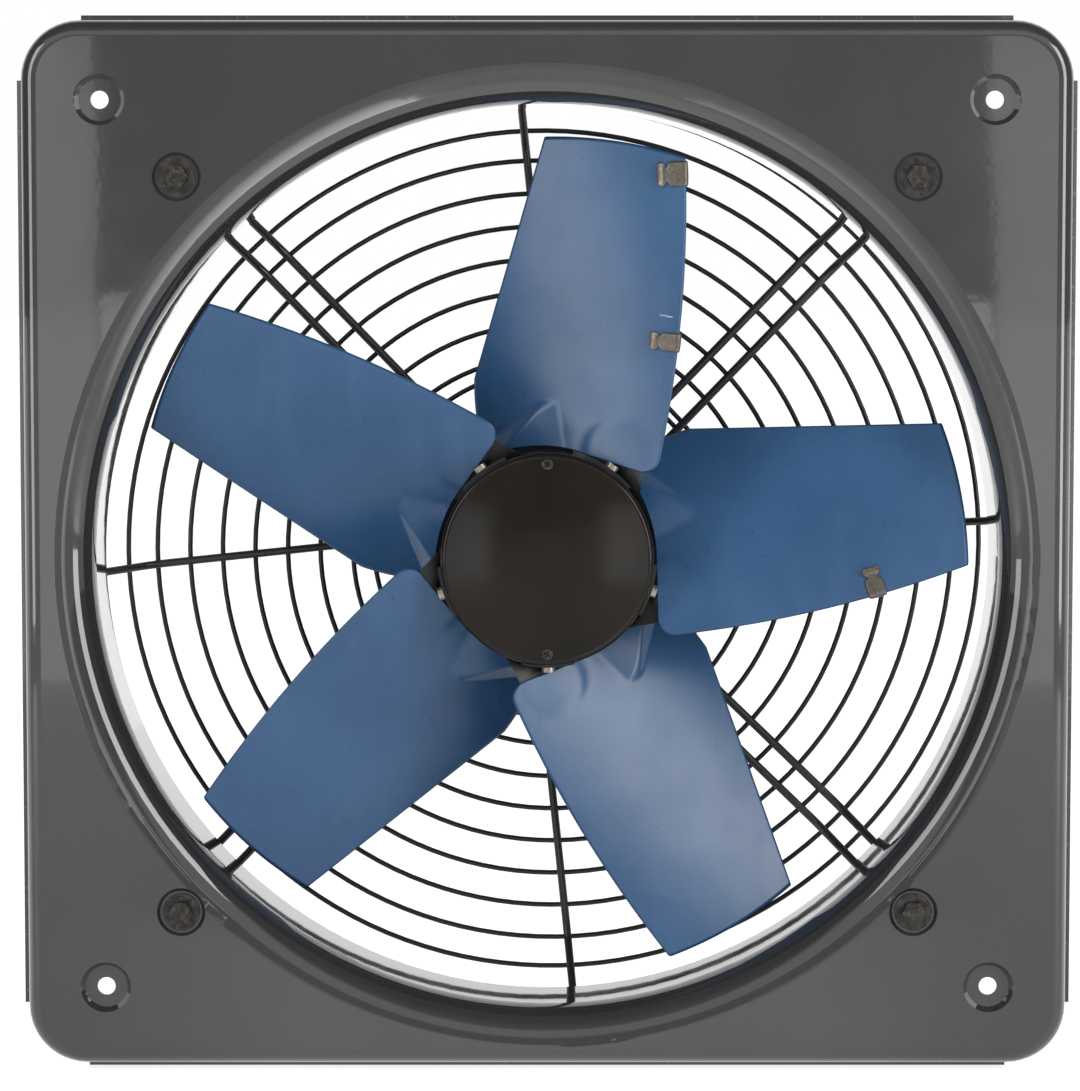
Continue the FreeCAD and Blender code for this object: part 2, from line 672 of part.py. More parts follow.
def end_winding(front):
    coil = ring(WINDING_IN_R, WINDING_OUT_R, front, front + WINDING_H)
    return coil.makeFillet(WINDING_ROUND, [edge for edge in coil.Edges if edge.Closed])


def race(inner, outer, front):
    return ring(inner, outer, front, front + BEARING_W)


def ball_set(front):
    pitch_r = (INNER_RACE_R + OUTER_RACE_R) / 2
    depth = front + BEARING_W / 2
    return [Part.makeSphere(BALL_R, at(x, depth, z)) for x, z in on_circle(pitch_r, BALL_COUNT)]


# Rotor: can, core, shaft and cap turn together

def rotor_can():
    inner_r = CAN_R - CAN_WALL
    cup = cylinder(CAN_R, CAN_FRONT, CAN_REAR)
    front_rim = [e for e in cup.Edges if e.Closed and abs(e.BoundBox.YMax - FACE_Y - CAN_FRONT) < SAME_PLACE]
    cup = cup.makeFillet(CAN_EDGE_R, front_rim)
    cup = cup.cut(cylinder(inner_r, CAN_FRONT + CAN_FACE_T, CAN_REAR))
    boss = cylinder(CAN_BOSS_R, CAN_FRONT, CAN_FRONT + CAN_BOSS_H)
    holes = [cylinder(SHAFT_R + FIT_GAP, CAN_FRONT, CAN_FRONT + CAN_BOSS_H)]
    screw_end = CAN_FRONT + CAP_SCREW_GRIP + THREAD_GAP
    for z in (CAP_SCREW_PITCH_R, -CAP_SCREW_PITCH_R):
        holes.append(cylinder(CAP_SCREW_R + THREAD_GAP, CAN_FRONT, screw_end, 0, z))
    hole_r = BRACKET_SCREW_R + THREAD_GAP
    for k in range(BLADE_COUNT):
        holes.append(radial_pin(hole_r, inner_r - CUT_MARGIN, CAN_R + CUT_MARGIN, bracket_screw_deg(k)))
    return cup.fuse(boss).cut(holes).removeSplitter()


def bracket_screw_deg(blade):
    return BLADE_START_DEG + 360 / BLADE_COUNT * blade + BRACKET_SCREW_TURN_DEG


def radial_pin(radius, inner, outer, angle_deg):
    pin = Part.makeCylinder(radius, outer - inner, at(inner, BRACKET_SCREW_DEPTH, 0), RIGHT)
    return turned(pin, angle_deg)


def rotor_core():
    outer = CAN_R - CAN_WALL - FIT_GAP
    return ring(STATOR_R + AIR_GAP, outer, STATOR_FRONT - CORE_OVERHANG, STATOR_REAR + CORE_OVERHANG)


def rotor_shaft():
    groove_rear = CIRCLIP_FRONT + CIRCLIP_T
    shaft = cylinder(SHAFT_R, CAN_FRONT, groove_rear + SHAFT_TAIL)
    return shaft.cut(ring(SHAFT_R - CIRCLIP_GROOVE, SHAFT_R + CUT_MARGIN, CIRCLIP_FRONT, groove_rear))


def shaft_circlip():
    front = CIRCLIP_FRONT + THREAD_GAP
    rear = CIRCLIP_FRONT + CIRCLIP_T - THREAD_GAP
    clip = ring(SHAFT_R - CIRCLIP_GROOVE + THREAD_GAP, CIRCLIP_R, front, rear)
    return clip.cut(box(0, CIRCLIP_R, front, rear, -CIRCLIP_MOUTH / 2, CIRCLIP_MOUTH / 2))


def cap_surface(offset):
    # Dome, rounded edge and skirt of the hub cap as revolved edges, moved inward by offset
    edge_r = CAP_EDGE_R - offset
    side = CAP_R - offset
    crown = CAP_R - CAP_EDGE_R
    shoulder = CAN_FRONT - CAP_T - CAP_EDGE_R
    apex = at(0, shoulder - CAP_DOME + offset, 0)
    dome_mid = at(crown / 2, shoulder - CAP_DOME * 0.75 + offset, 0)
    dome_end = at(crown, shoulder + offset, 0)
    edge_end = at(side, shoulder + CAP_EDGE_R, 0)
    diagonal = math.sqrt(0.5)
    edge_mid = at(crown + edge_r * diagonal, shoulder + CAP_EDGE_R - edge_r * diagonal, 0)
    skirt_end = at(side, CAN_FRONT + CAP_SKIRT, 0)
    return [arc(apex, dome_mid, dome_end), arc(dome_end, edge_mid, edge_end), line(edge_end, skirt_end)]


def cap_body(offset):
    edges = cap_surface(offset)
    rear = at(0, CAN_FRONT + CAP_SKIRT, 0)
    apex = edges[0].valueAt(edges[0].FirstParameter)
    skirt_end = edges[-1].valueAt(edges[-1].LastParameter)
    return revolved(edges + [line(skirt_end, rear), line(rear, apex)])


def hub_cap():
    cap = cap_body(0)
    hollow = cap_body(CAP_T).fuse(cylinder(CAN_R + CAP_SKIRT_GAP, CAN_FRONT, CAN_FRONT + CAP_SKIRT))
    cap = cap.cut(hollow)
    holes = []
    bosses = []
    for z in (CAP_SCREW_PITCH_R, -CAP_SCREW_PITCH_R):
        bosses.append(cylinder(CAP_SCREW_BOSS_R, CAP_SEAT, CAN_FRONT, 0, z))
        mouth = CAP_SEAT - CAP_DOME - CAP_EDGE_R
        holes.append(cylinder(CAP_SCREW_HEAD_R + THREAD_GAP, mouth, CAP_SEAT, 0, z))
        holes.append(cylinder(CAP_SCREW_R + THREAD_GAP, CAP_SEAT, CAN_FRONT, 0, z))
    return cap.multiFuse(bosses).cut(holes).removeSplitter()


def hub_cap_screw(z):
    head = cylinder(CAP_SCREW_HEAD_R, CAP_SEAT - CAP_SCREW_HEAD_H, CAP_SEAT, 0, z)
    return head.fuse(cylinder(CAP_SCREW_R, CAP_SEAT, CAN_FRONT + CAP_SCREW_GRIP, 0, z)).removeSplitter()


# Blades: twisted, cambered sheet trimmed to the blade's outline, with pressings at the root

def section_point(u, half_chord, camber, stagger_deg, mid_depth, chord_share, offset):
    # chord_share runs from -1 at the leading side to 1 at the trailing side, offset is rearward
    stagger = math.radians(stagger_deg)
    along = chord_share * half_chord
    rise = offset - camber * (1 - chord_share * chord_share)
    depth = mid_depth + along * math.sin(stagger) + rise * math.cos(stagger)
    return at(u, depth, along * math.cos(stagger) - rise * math.sin(stagger))


def blade_point(u, chord_share, offset):
    root = section_point(BLADE_LOFT_IN_U, ROOT_HALF_CHORD, ROOT_CAMBER, ROOT_STAGGER_DEG, ROOT_MID_DEPTH,
                         chord_share, offset)
    tip = section_point(BLADE_LOFT_OUT_U, TIP_HALF_CHORD, TIP_CAMBER, TIP_STAGGER_DEG, TIP_MID_DEPTH,
                        chord_share, offset)
    return root + (tip - root) * ((u - BLADE_LOFT_IN_U) / (BLADE_LOFT_OUT_U - BLADE_LOFT_IN_U))


def blade_slab(front_offset, rear_offset):
    sections = []
    for u in (BLADE_LOFT_IN_U, BLADE_LOFT_OUT_U):
        front = [blade_point(u, share, front_offset) for share in (-1, 0, 1)]
        rear = [blade_point(u, share, rear_offset) for share in (1, 0, -1)]
        edges = [arc(*front), line(front[2], rear[0]), arc(*rear), line(rear[2], front[0])]
        sections.append(Part.Wire(edges))
    return Part.makeLoft(sections, True, True)


def zone_point(u, v):
    return at(u, BLADE_ZONE_FRONT, v)


def on_arc(radius, angle_deg):
    angle = math.radians(angle_deg)
    return zone_point(radius * math.cos(angle), radius * math.sin(angle))


def root_line_u(v):
    # The leading root edge is straight and touches the root circle at ROOT_LINE_DEG
    touch = math.radians(ROOT_LINE_DEG)
    return (BLADE_ROOT_R - v * math.sin(touch)) / math.cos(touch)


def lead_root_u():
    return root_line_u(-LEAD_ROOT_V) + ROOT_CORNER_R


def blade_outline():
    trail_tip = zone_point(math.sqrt(BLADE_TIP_R ** 2 - TRAIL_TIP_V ** 2), TRAIL_TIP_V)
    lead_tip = zone_point(math.sqrt(BLADE_TIP_R ** 2 - LEAD_TIP_V ** 2), -LEAD_TIP_V)
    lead_root = zone_point(lead_root_u(), -LEAD_ROOT_V)
    corner = zone_point(root_line_u(-LEAD_ROOT_V), -LEAD_ROOT_V)
    root_lead = on_arc(BLADE_ROOT_R, ROOT_LINE_DEG)
    corner_end = corner + (root_lead - corner).normalize() * ROOT_CORNER_R
    root_mid = on_arc(BLADE_ROOT_R, (ROOT_LINE_DEG + TRAIL_ROOT_DEG) / 2)
    root_trail = on_arc(BLADE_ROOT_R, TRAIL_ROOT_DEG)
    shoulder = zone_point(TRAIL_ROOT_U, TRAIL_ROOT_V)
    across = (shoulder - root_trail).normalize().cross(AXIS)
    shoulder_mid = (shoulder + root_trail) * 0.5 - across * TRAIL_ROOT_SWELL
    edges = [arc(trail_tip, zone_point(BLADE_TIP_R, 0), lead_tip),
             arc(lead_tip, zone_point(LEAD_MID_U, -LEAD_MID_V), lead_root),
             arc(lead_root, quarter_arc_middle(lead_root, corner, corner_end), corner_end),
             line(corner_end, root_lead),
             arc(root_lead, root_mid, root_trail),
             arc(root_trail, shoulder_mid, shoulder),
             line(shoulder, trail_tip)]
    return Part.Face(Part.Wire(edges)).extrude(AXIS * (BLADE_ZONE_REAR - BLADE_ZONE_FRONT))


def sheet_point(radius, angle_deg, offset):
    # Point of the sheet in front of this place of the outline, offset rearward from its middle
    angle = math.radians(angle_deg)
    u = radius * math.cos(angle)
    return blade_point(u, chord_share(u, radius * math.sin(angle)), offset)


def chord_share(u, v):
    # Chord share at which the sheet's middle crosses v at this u
    low, high = -1.0, 1.0
    for _ in range(HALVINGS):
        middle = (low + high) / 2
        if blade_point(u, middle, 0).z < v:
            low = middle
        else:
            high = middle
    return high


def dart():
    # A pressed dart: two facets rise from the sheet to a ridge that runs from the dart's tip to the hub side
    tip = sheet_point(BLADE_ROOT_R + DART_REACH, DART_TIP_DEG, 0)
    low = sheet_point(BLADE_ROOT_R, DART_LOW_DEG, 0)
    high = sheet_point(BLADE_ROOT_R + DART_HIGH_REACH, DART_HIGH_DEG, 0)
    foot = sheet_point(BLADE_ROOT_R, DART_RIDGE_DEG, 0)
    crest = sheet_point(BLADE_ROOT_R, DART_RIDGE_DEG, -BLADE_T / 2 - DART_HEIGHT)
    corners = [(tip, high, crest), (tip, crest, low), (high, foot, crest), (foot, low, crest),
               (tip, foot, high), (tip, low, foot)]
    faces = [Part.Face(Part.makePolygon([a, b, c, a])) for a, b, c in corners]
    return Part.makeSolid(Part.makeShell(faces))


def lobe():
    # A round pad pressed forward over the bracket
    angle = math.radians(LOBE_DEG)
    radius = BLADE_ROOT_R + LOBE_REACH
    x, z = radius * math.cos(angle), radius * math.sin(angle)
    disc = cylinder(LOBE_R, BLADE_ZONE_FRONT, BLADE_ZONE_REAR, x, z)
    return blade_slab(-BLADE_T / 2 - LOBE_HEIGHT, BLADE_T / 2).common(disc)


def blade():
    sheet = blade_slab(-BLADE_T / 2, BLADE_T / 2)
    return sheet.multiFuse([dart(), lobe()]).common(blade_outline()).removeSplitter()


def blade_bracket():
    gap = WELD_GAP
    slab = blade_slab(BLADE_T / 2 + gap, BLADE_T / 2 + gap + BRACKET_T)
    low_v = BRACKET_ARM_V - BRACKET_ARM_HALF_V
    high_v = BRACKET_ARM_V + BRACKET_ARM_HALF_V
    tip = BRACKET_ARM_U - BRACKET_ARM_ROUND
    low = zone_point(tip, low_v)
    high = zone_point(tip, high_v)
    corners = [low, zone_point(BRACKET_ARM_U, BRACKET_ARM_V), high]
    root_low = zone_point(BLADE_LOFT_IN_U, low_v)
    root_high = zone_point(BLADE_LOFT_IN_U, high_v)
    edges = [arc(*corners), line(high, root_high), line(root_high, root_low), line(root_low, low)]
    face = Part.Face(Part.Wire(edges))
    arm = slab.common(face.extrude(AXIS * (BLADE_ZONE_REAR - BLADE_ZONE_FRONT)))
    room_r = BRACKET_SCREW_HEAD_R + BRACKET_SCREW_ROOM
    room_end = PAD_OUT_R + BRACKET_SCREW_HEAD_H + BRACKET_SCREW_ROOM
    room = radial_pin(room_r, BLADE_LOFT_IN_U, room_end, BRACKET_SCREW_TURN_DEG)
    can_room = cylinder(PAD_IN_R, BLADE_ZONE_FRONT, BLADE_ZONE_REAR)
    cap_room = cylinder(CAP_R + CAP_SKIRT_GAP, BLADE_ZONE_FRONT, BRACKET_PAD_FRONT)
    arm = arm.cut([can_room, cap_room, room])
    pad = Part.makeCylinder(PAD_OUT_R, BRACKET_PAD_REAR - BRACKET_PAD_FRONT, at(0, BRACKET_PAD_FRONT, 0),
                            AXIS, BRACKET_PAD_DEG)
    pad = pad.cut(cylinder(PAD_IN_R, BRACKET_PAD_FRONT, BRACKET_PAD_REAR))
    pad = turned(pad, BRACKET_PAD_TURN_DEG - sector_middle_deg(pad))
    hole_r = BRACKET_SCREW_R + THREAD_GAP
    hole = radial_pin(hole_r, PAD_IN_R - CUT_MARGIN, PAD_OUT_R + CUT_MARGIN, BRACKET_SCREW_TURN_DEG)
    return arm.fuse(pad).cut(hole).removeSplitter()


def sector_middle_deg(sector):
    centre = sector.CenterOfGravity
    return math.degrees(math.atan2(centre.z, centre.x))


def bracket_screw(blade_index):
    angle = bracket_screw_deg(blade_index)
    shank = radial_pin(BRACKET_SCREW_R, CAN_R - CAN_WALL, PAD_OUT_R, angle)
    head = radial_pin(BRACKET_SCREW_HEAD_R, PAD_OUT_R, PAD_OUT_R + BRACKET_SCREW_HEAD_H, angle)
    return head.fuse(shank).removeSplitter()


def leading_edge_share(u):
    # Chord share at which the sheet meets the outline's leading edge at this u
    start = Vec(math.sqrt(BLADE_TIP_R ** 2 - LEAD_TIP_V ** 2), -LEAD_TIP_V, 0)
    edge = Part.Circle(start, Vec(LEAD_MID_U, -LEAD_MID_V, 0), Vec(lead_root_u(), -LEAD_ROOT_V, 0))
    cut = edge.intersect(Part.LineSegment(Vec(u, 0, 0), Vec(u, -2 * LEAD_ROOT_V, 0)))
    return chord_share(u, cut[0].Y)


def leading_edge(u):
    return blade_point(u, leading_edge_share(u), 0)


def balance_clip(blade_index, u):
    edge = leading_edge(u)
    inner = blade_point(u, leading_edge_share(u) + CLIP_REACH / ROOT_HALF_CHORD, 0)
    along = (leading_edge(u + CLIP_LENGTH / 2) - leading_edge(u - CLIP_LENGTH / 2)).normalize()
    edge_slant = BLADE_T / 2 * math.tan(math.radians(ROOT_STAGGER_DEG))
    normal = along.cross(inner - edge).normalize()
    chord = normal.cross(along)
    half_gap = BLADE_T / 2 + CLIP_GAP
    half_out = half_gap + CLIP_T
    start = edge - along * (CLIP_LENGTH / 2)
    slot = chord * -(CLIP_GAP + edge_slant)
    back = slot - chord * CLIP_T
    reach = chord * CLIP_REACH
    outline = [(reach, half_out), (back, half_out), (back, -half_out), (reach, -half_out),
               (reach, -half_gap), (slot, -half_gap), (slot, half_gap), (reach, half_gap)]
    points = [start + inward + normal * side for inward, side in outline]
    clip = Part.Face(Part.makePolygon(points + points[:1])).extrude(along * CLIP_LENGTH)
    return turned(clip, BLADE_START_DEG + 360 / BLADE_COUNT * blade_index)


# Terminal box behind the motor plate

def square_block(half, corner_r, front, rear):
    return rounded_square(half, corner_r, front).extrude(AXIS * (rear - front))


def gland_axis_cylinder(radius, top, bottom):
    return Part.makeCylinder(radius, top - bottom, at(0, GLAND_DEPTH, bottom), UP)


def gland_hexagon(across_flats, top, bottom):
    corner_r = across_flats / math.sqrt(3)
    points = []
    for side in range(7):
        angle = math.radians(60 * side)
        points.append(at(corner_r * math.cos(angle), GLAND_DEPTH + corner_r * math.sin(angle), bottom))
    return Part.Face(Part.makePolygon(points)).extrude(UP * (top - bottom))


def terminal_box():
    half = BOX_SIZE / 2
    shell = square_block(half, BOX_CORNER_R, BOX_FRONT, BOX_REAR)
    shell = shell.cut(square_block(half - BOX_WALL, BOX_CORNER_R - BOX_WALL, BOX_INSIDE, BOX_REAR))
    pieces = [shell, cylinder(WIRE_TUBE_R, MOTOR_PLATE_REAR, BOX_INSIDE)]
    holes = [cylinder(WIRE_TUBE_BORE_R, MOTOR_PLATE_REAR, BOX_INSIDE)]
    for x, z in four_corners(BOX_POST_PITCH):
        pieces.append(cylinder(BOX_POST_R, BOX_FRONT, BOX_REAR, x, z))
        holes.append(cylinder(BOX_SCREW_R + THREAD_GAP, BOX_REAR - LID_SCREW_GRIP, BOX_REAR, x, z))
    for x, z in four_corners(BOX_STAND_PITCH):
        pieces.append(cylinder(BOX_STAND_R, MOTOR_PLATE_REAR, BOX_INSIDE, x, z))
        holes.append(cylinder(BOX_SCREW_R + THREAD_GAP, MOTOR_PLATE_REAR, BOX_INSIDE, x, z))
    low = CAPACITOR_Z - SADDLE_WIDTH / 2
    high = CAPACITOR_Z + SADDLE_WIDTH / 2
    for x in (-SADDLE_PITCH / 2, SADDLE_PITCH / 2):
        pieces.append(box(x - SADDLE_T / 2, x + SADDLE_T / 2, BOX_FRONT, CAPACITOR_DEPTH, low, high))
    holes.append(capacitor_body(CAPACITOR_R + THREAD_GAP))
    wall_top = -half + BOX_WALL
    holes.append(gland_axis_cylinder(GLAND_THREAD_R + THREAD_GAP, wall_top, -half))
    return fused(pieces).cut(holes)


def box_screw(x, z):
    head = cylinder(BOX_SCREW_HEAD_R, BOX_INSIDE, BOX_INSIDE + BOX_SCREW_HEAD_H, x, z)
    return head.fuse(cylinder(BOX_SCREW_R, MOTOR_PLATE_FRONT, BOX_INSIDE, x, z)).removeSplitter()


def lid_gasket():
    half = BOX_SIZE / 2
    seal = square_block(half, BOX_CORNER_R, BOX_REAR, BOX_REAR + GASKET_T)
    return seal.cut(square_block(half - BOX_WALL, BOX_CORNER_R - BOX_WALL, BOX_REAR, BOX_REAR + GASKET_T))


def terminal_box_lid():
    front = BOX_REAR + GASKET_T
    lid = square_block(BOX_SIZE / 2, BOX_CORNER_R, front, front + LID_T)
    holes = []
    posts = []
    for x, z in four_corners(BOX_POST_PITCH):
        posts.append(cylinder(BOX_POST_R, BOX_REAR, front, x, z))
        holes.append(cylinder(BOX_SCREW_R + BOLT_HOLE_CLEARANCE, BOX_REAR, front + LID_T, x, z))
    inner_half = BOX_SIZE / 2 - BOX_WALL - WELD_GAP
    spigot = square_block(inner_half, BOX_CORNER_R - BOX_WALL, BOX_REAR, front)
    posts = [post.common(spigot) for post in posts]
    return lid.multiFuse(posts).cut(holes).removeSplitter()


def lid_screw(x, z):
    seat = BOX_REAR + GASKET_T + LID_T
    head = cylinder(BOX_SCREW_HEAD_R, seat, seat + BOX_SCREW_HEAD_H, x, z)
    shank = cylinder(BOX_SCREW_R, BOX_REAR - LID_SCREW_GRIP + THREAD_GAP, seat, x, z)
    return head.fuse(shank).removeSplitter()


def capacitor_body(radius):
    start = at(-CAPACITOR_L / 2, CAPACITOR_DEPTH, CAPACITOR_Z)
    return Part.makeCylinder(radius, CAPACITOR_L, start, RIGHT)


def run_capacitor():
    body = capacitor_body(CAPACITOR_R)
    return body.makeFillet(CAPACITOR_EDGE_R, [e for e in body.Edges if e.Closed])


def terminal_block():
    half_x = BLOCK_SIZE_X / 2
    half_z = BLOCK_SIZE_Z / 2
    rear = BOX_INSIDE + BLOCK_H
    block = box(-half_x, half_x, BOX_INSIDE, rear, BLOCK_Z - half_z, BLOCK_Z + half_z)
    step = BLOCK_SIZE_X / BLOCK_POLES
    holes = [cylinder(WIRE_TUBE_BORE_R, BOX_INSIDE, BOX_INSIDE + BLOCK_WIRE_ROOM)]
    for pole in range(BLOCK_POLES):
        x = -half_x + step * (pole + 0.5)
        for z in (BLOCK_Z - half_z / 2, BLOCK_Z + half_z / 2):
            holes.append(cylinder(BLOCK_SCREW_R, rear - BLOCK_SCREW_DEEP, rear, x, z))
    return block.cut(holes)


def gland_levels():
    wall = -BOX_SIZE / 2
    hex_end = wall - GLAND_HEX_H
    cap_end = hex_end - GLAND_CAP_H
    return wall, hex_end, cap_end


def cable_gland():
    wall, hex_end, _ = gland_levels()
    thread_top = wall + BOX_WALL + GLAND_TAIL
    body = gland_hexagon(GLAND_HEX_AF, wall, hex_end)
    body = body.fuse(gland_axis_cylinder(GLAND_THREAD_R, thread_top, hex_end - GLAND_NECK_H))
    return body.cut(gland_axis_cylinder(CABLE_BORE_R, thread_top, hex_end - GLAND_NECK_H)).removeSplitter()


def gland_cap():
    _, hex_end, cap_end = gland_levels()
    cap = gland_axis_cylinder(GLAND_CAP_R, hex_end, cap_end)
    mouth = [e for e in cap.Edges if e.Closed and abs(e.BoundBox.ZMax - cap_end) < SAME_PLACE]
    cap = cap.makeFillet(GLAND_CAP_EDGE_R, mouth)
    neck_end = hex_end - GLAND_NECK_H - THREAD_GAP
    cap = cap.cut(gland_axis_cylinder(GLAND_THREAD_R + THREAD_GAP, hex_end, neck_end))
    return cap.cut(gland_axis_cylinder(CABLE_BORE_R, hex_end, cap_end))


def gland_locknut():
    inside = -BOX_SIZE / 2 + BOX_WALL
    nut = gland_hexagon(GLAND_HEX_AF, inside + GLAND_NUT_H, inside)
    return nut.cut(gland_axis_cylinder(GLAND_THREAD_R + THREAD_GAP, inside + GLAND_NUT_H, inside))


# Nodes: one shape, or a group of separate solids, per file

def plate_nodes():
    corners = four_corners(BOLT_PITCH)
    return {"mounting_plate": mounting_plate(),
            "guard_bolts": [guard_bolt(x, z) for x, z in corners],
            "bolt_washers": [washer(x, z, SEAT_DEPTH - WASHER_T) for x, z in corners],
            "foot_washers": [washer(x, z, FOOT_WASHER_FRONT) for x, z in corners],
            "guard_nuts": [guard_nut(x, z) for x, z in corners]}


def fan_nodes():
    made = {"guard_spiral": guard_spiral(),
            "guard_inner_ring": guard_inner_ring(),
            "guard_spokes": [guard_spoke(360 / SPOKE_COUNT * k) for k in range(SPOKE_COUNT)],
            "motor_plate": motor_plate(),
            "motor_screws": [motor_screw(x, z) for x, z in on_circle(MOTOR_SCREW_PITCH_R, 4)],
            "motor_flange": motor_flange(),
            "bearing_tube": bearing_tube(),
            "stator_core": stator_core(),
            "front_winding": end_winding(STATOR_FRONT - WINDING_H),
            "rear_winding": end_winding(STATOR_REAR),
            "front_bearing_outer": race(OUTER_RACE_R, BEARING_R, BEARING_FRONT),
            "rear_bearing_outer": race(OUTER_RACE_R, BEARING_R, BEARING_REAR),
            "front_bearing_inner": race(SHAFT_R + FIT_GAP, INNER_RACE_R, BEARING_FRONT),
            "rear_bearing_inner": race(SHAFT_R + FIT_GAP, INNER_RACE_R, BEARING_REAR),
            "front_bearing_balls": ball_set(BEARING_FRONT),
            "rear_bearing_balls": ball_set(BEARING_REAR),
            "rotor_can": rotor_can(),
            "rotor_core": rotor_core(),
            "rotor_shaft": rotor_shaft(),
            "shaft_circlip": shaft_circlip(),
            "hub_cap": hub_cap(),
            "hub_cap_screws": [hub_cap_screw(z) for z in (CAP_SCREW_PITCH_R, -CAP_SCREW_PITCH_R)],
            "bracket_screws": [bracket_screw(k) for k in range(BLADE_COUNT)],
            "balance_clips": [balance_clip(k, BLADE_TIP_R - inset) for k, inset in CLIP_PLACES],
            "terminal_box": terminal_box(),
            "box_screws": [box_screw(x, z) for x, z in four_corners(BOX_STAND_PITCH)],
            "lid_gasket": lid_gasket(),
            "terminal_box_lid": terminal_box_lid(),
            "lid_screws": [lid_screw(x, z) for x, z in four_corners(BOX_POST_PITCH)],
            "run_capacitor": run_capacitor(),
            "terminal_block": terminal_block(),
            "cable_gland": cable_gland(),
            "gland_cap": gland_cap(),
            "gland_locknut": gland_locknut()}
    for k, (x, z) in enumerate(four_corners(BOLT_PITCH)):
        made["support_rod_%d" % (k + 1)] = support_rod(x, z)
    one_blade = blade()
    one_bracket = blade_bracket()
    for k in range(BLADE_COUNT):
        angle = BLADE_START_DEG + 360 / BLADE_COUNT * k
        made["blade_%d" % (k + 1)] = turned(one_blade, angle)
        made["blade_bracket_%d" % (k + 1)] = turned(one_bracket, angle)
    return made


def solids(shape):
    return shape if isinstance(shape, list) else shape.Solids


def export(name, group):
    whole = group[0] if len(group) == 1 else Part.makeCompound(group)
    whole.exportStep("parts/%s.step" % name)
    print(name, len(group), "solid", round(whole.Volume, 1), "mm3", "valid" if whole.isValid() else "INVALID")


os.makedirs("parts", exist_ok=True)
for name, shape in plate_nodes().items():
    export(name, solids(shape))
for name, shape in fan_nodes().items():
    export(name, [lowered(solid) for solid in solids(shape)])
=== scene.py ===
import math
import bpy
import numpy as np
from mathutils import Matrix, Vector


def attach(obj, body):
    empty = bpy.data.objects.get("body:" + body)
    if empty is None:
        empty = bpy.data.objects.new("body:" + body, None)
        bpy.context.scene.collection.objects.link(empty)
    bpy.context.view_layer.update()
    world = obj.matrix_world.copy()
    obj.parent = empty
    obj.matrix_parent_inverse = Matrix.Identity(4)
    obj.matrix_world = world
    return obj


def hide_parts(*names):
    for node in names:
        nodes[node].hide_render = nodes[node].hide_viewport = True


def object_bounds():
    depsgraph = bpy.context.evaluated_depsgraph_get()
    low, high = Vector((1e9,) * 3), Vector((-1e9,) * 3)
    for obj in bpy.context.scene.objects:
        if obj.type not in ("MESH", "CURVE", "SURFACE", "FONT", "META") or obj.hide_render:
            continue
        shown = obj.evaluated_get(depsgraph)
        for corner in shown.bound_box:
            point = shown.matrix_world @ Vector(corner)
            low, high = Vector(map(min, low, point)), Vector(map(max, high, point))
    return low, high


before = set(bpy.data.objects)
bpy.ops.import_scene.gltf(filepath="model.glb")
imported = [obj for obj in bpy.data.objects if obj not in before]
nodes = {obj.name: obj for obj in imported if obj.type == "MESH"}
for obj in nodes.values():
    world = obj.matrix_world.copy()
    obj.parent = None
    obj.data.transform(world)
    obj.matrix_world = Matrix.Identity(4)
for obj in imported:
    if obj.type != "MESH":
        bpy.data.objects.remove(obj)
cad_low, cad_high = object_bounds()

# Sizes shared with the solids, in millimetres
FACE_Y = -5.0
FAN_DROP = 6.0
BLADE_COUNT = 5
BLADE_START_DEG = 9.5
BLADE_TIP_R = 200.0
BLADE_ROOT_R = 52.65
BLADE_T = 1.8
LOFT_IN_U = 32.0
LOFT_OUT_U = 204.0
ROOT_SECTION = (68.0, 5.0, math.radians(33.0), 36.0)
TIP_SECTION = (48.0, 2.5, math.radians(22.5), 29.5)
TRAIL_TIP_V = 30.0
TRAIL_SHOULDER = np.array((78.0, 46.5))
TRAIL_ROOT_DEG = 41.0
TRAIL_SWELL = 1.8
LEAD_TIP_V = -36.0
LEAD_MIDDLE = np.array((139.0, -43.8))
LEAD_ROOT_V = -45.0
ROOT_CORNER_R = 7.5
ROOT_LINE_DEG = -8.7
DART_REACH = 23.0
DART_TIP_DEG = 5.5
DART_LOW = (BLADE_ROOT_R, -1.0)
DART_HIGH = (BLADE_ROOT_R + 8.0, 35.5)
DART_CREST = (BLADE_ROOT_R, 28.0)
DART_HEIGHT = 6.5
LOBE_MIDDLE = (BLADE_ROOT_R + 7.5, -24.0)
LOBE_R = 16.0
HUB_SCREW_PITCH_R = 45.0
HUB_SCREW_FRONT = FACE_Y - 1.3
HUB_SCREW_R = 2.8
HUB_SCREW_SHANK_R = 1.4
# Blade of each balance clip, its distance from the blade's tip, and half its length along the edge
CLIPS = ((1, 10.5, 5.9), (1, 90.0, 4.4), (0, 48.0, 4.2))
CLIP_OFF = 1.42

# Softness of the pressings, as the height over which two slopes run together, and the blade's edge.
# The dart's corner lies further out than in the solids, because its rounded nose ends short of it.
DART_NOSE_OVER = 4.0
DART_TIP = (BLADE_ROOT_R + DART_REACH + DART_NOSE_OVER, DART_TIP_DEG)
DART_RIDGE_SOFT = 0.9
DART_NOSE_SOFT = 6.0
DART_NOSE_REACH = 9.0
DART_FOOT_SOFT = 0.4
PAD_HEIGHT = 0.45
PAD_TILT = 0.035
PAD_SHOULDER_SLOPE = 0.16
PAD_SHOULDER_SOFT = 0.5
PAD_FOOT_SOFT = 0.3
EDGE_ROLL = 0.45
EDGE_ROLL_ROWS = ((0.3, -0.85), (0.0, -0.5), (0.0, 0.5), (0.3, 0.85))
NET_ACROSS = 150
NET_ALONG = 170
SHARE_LIMIT = 1.2
HALVINGS = 40

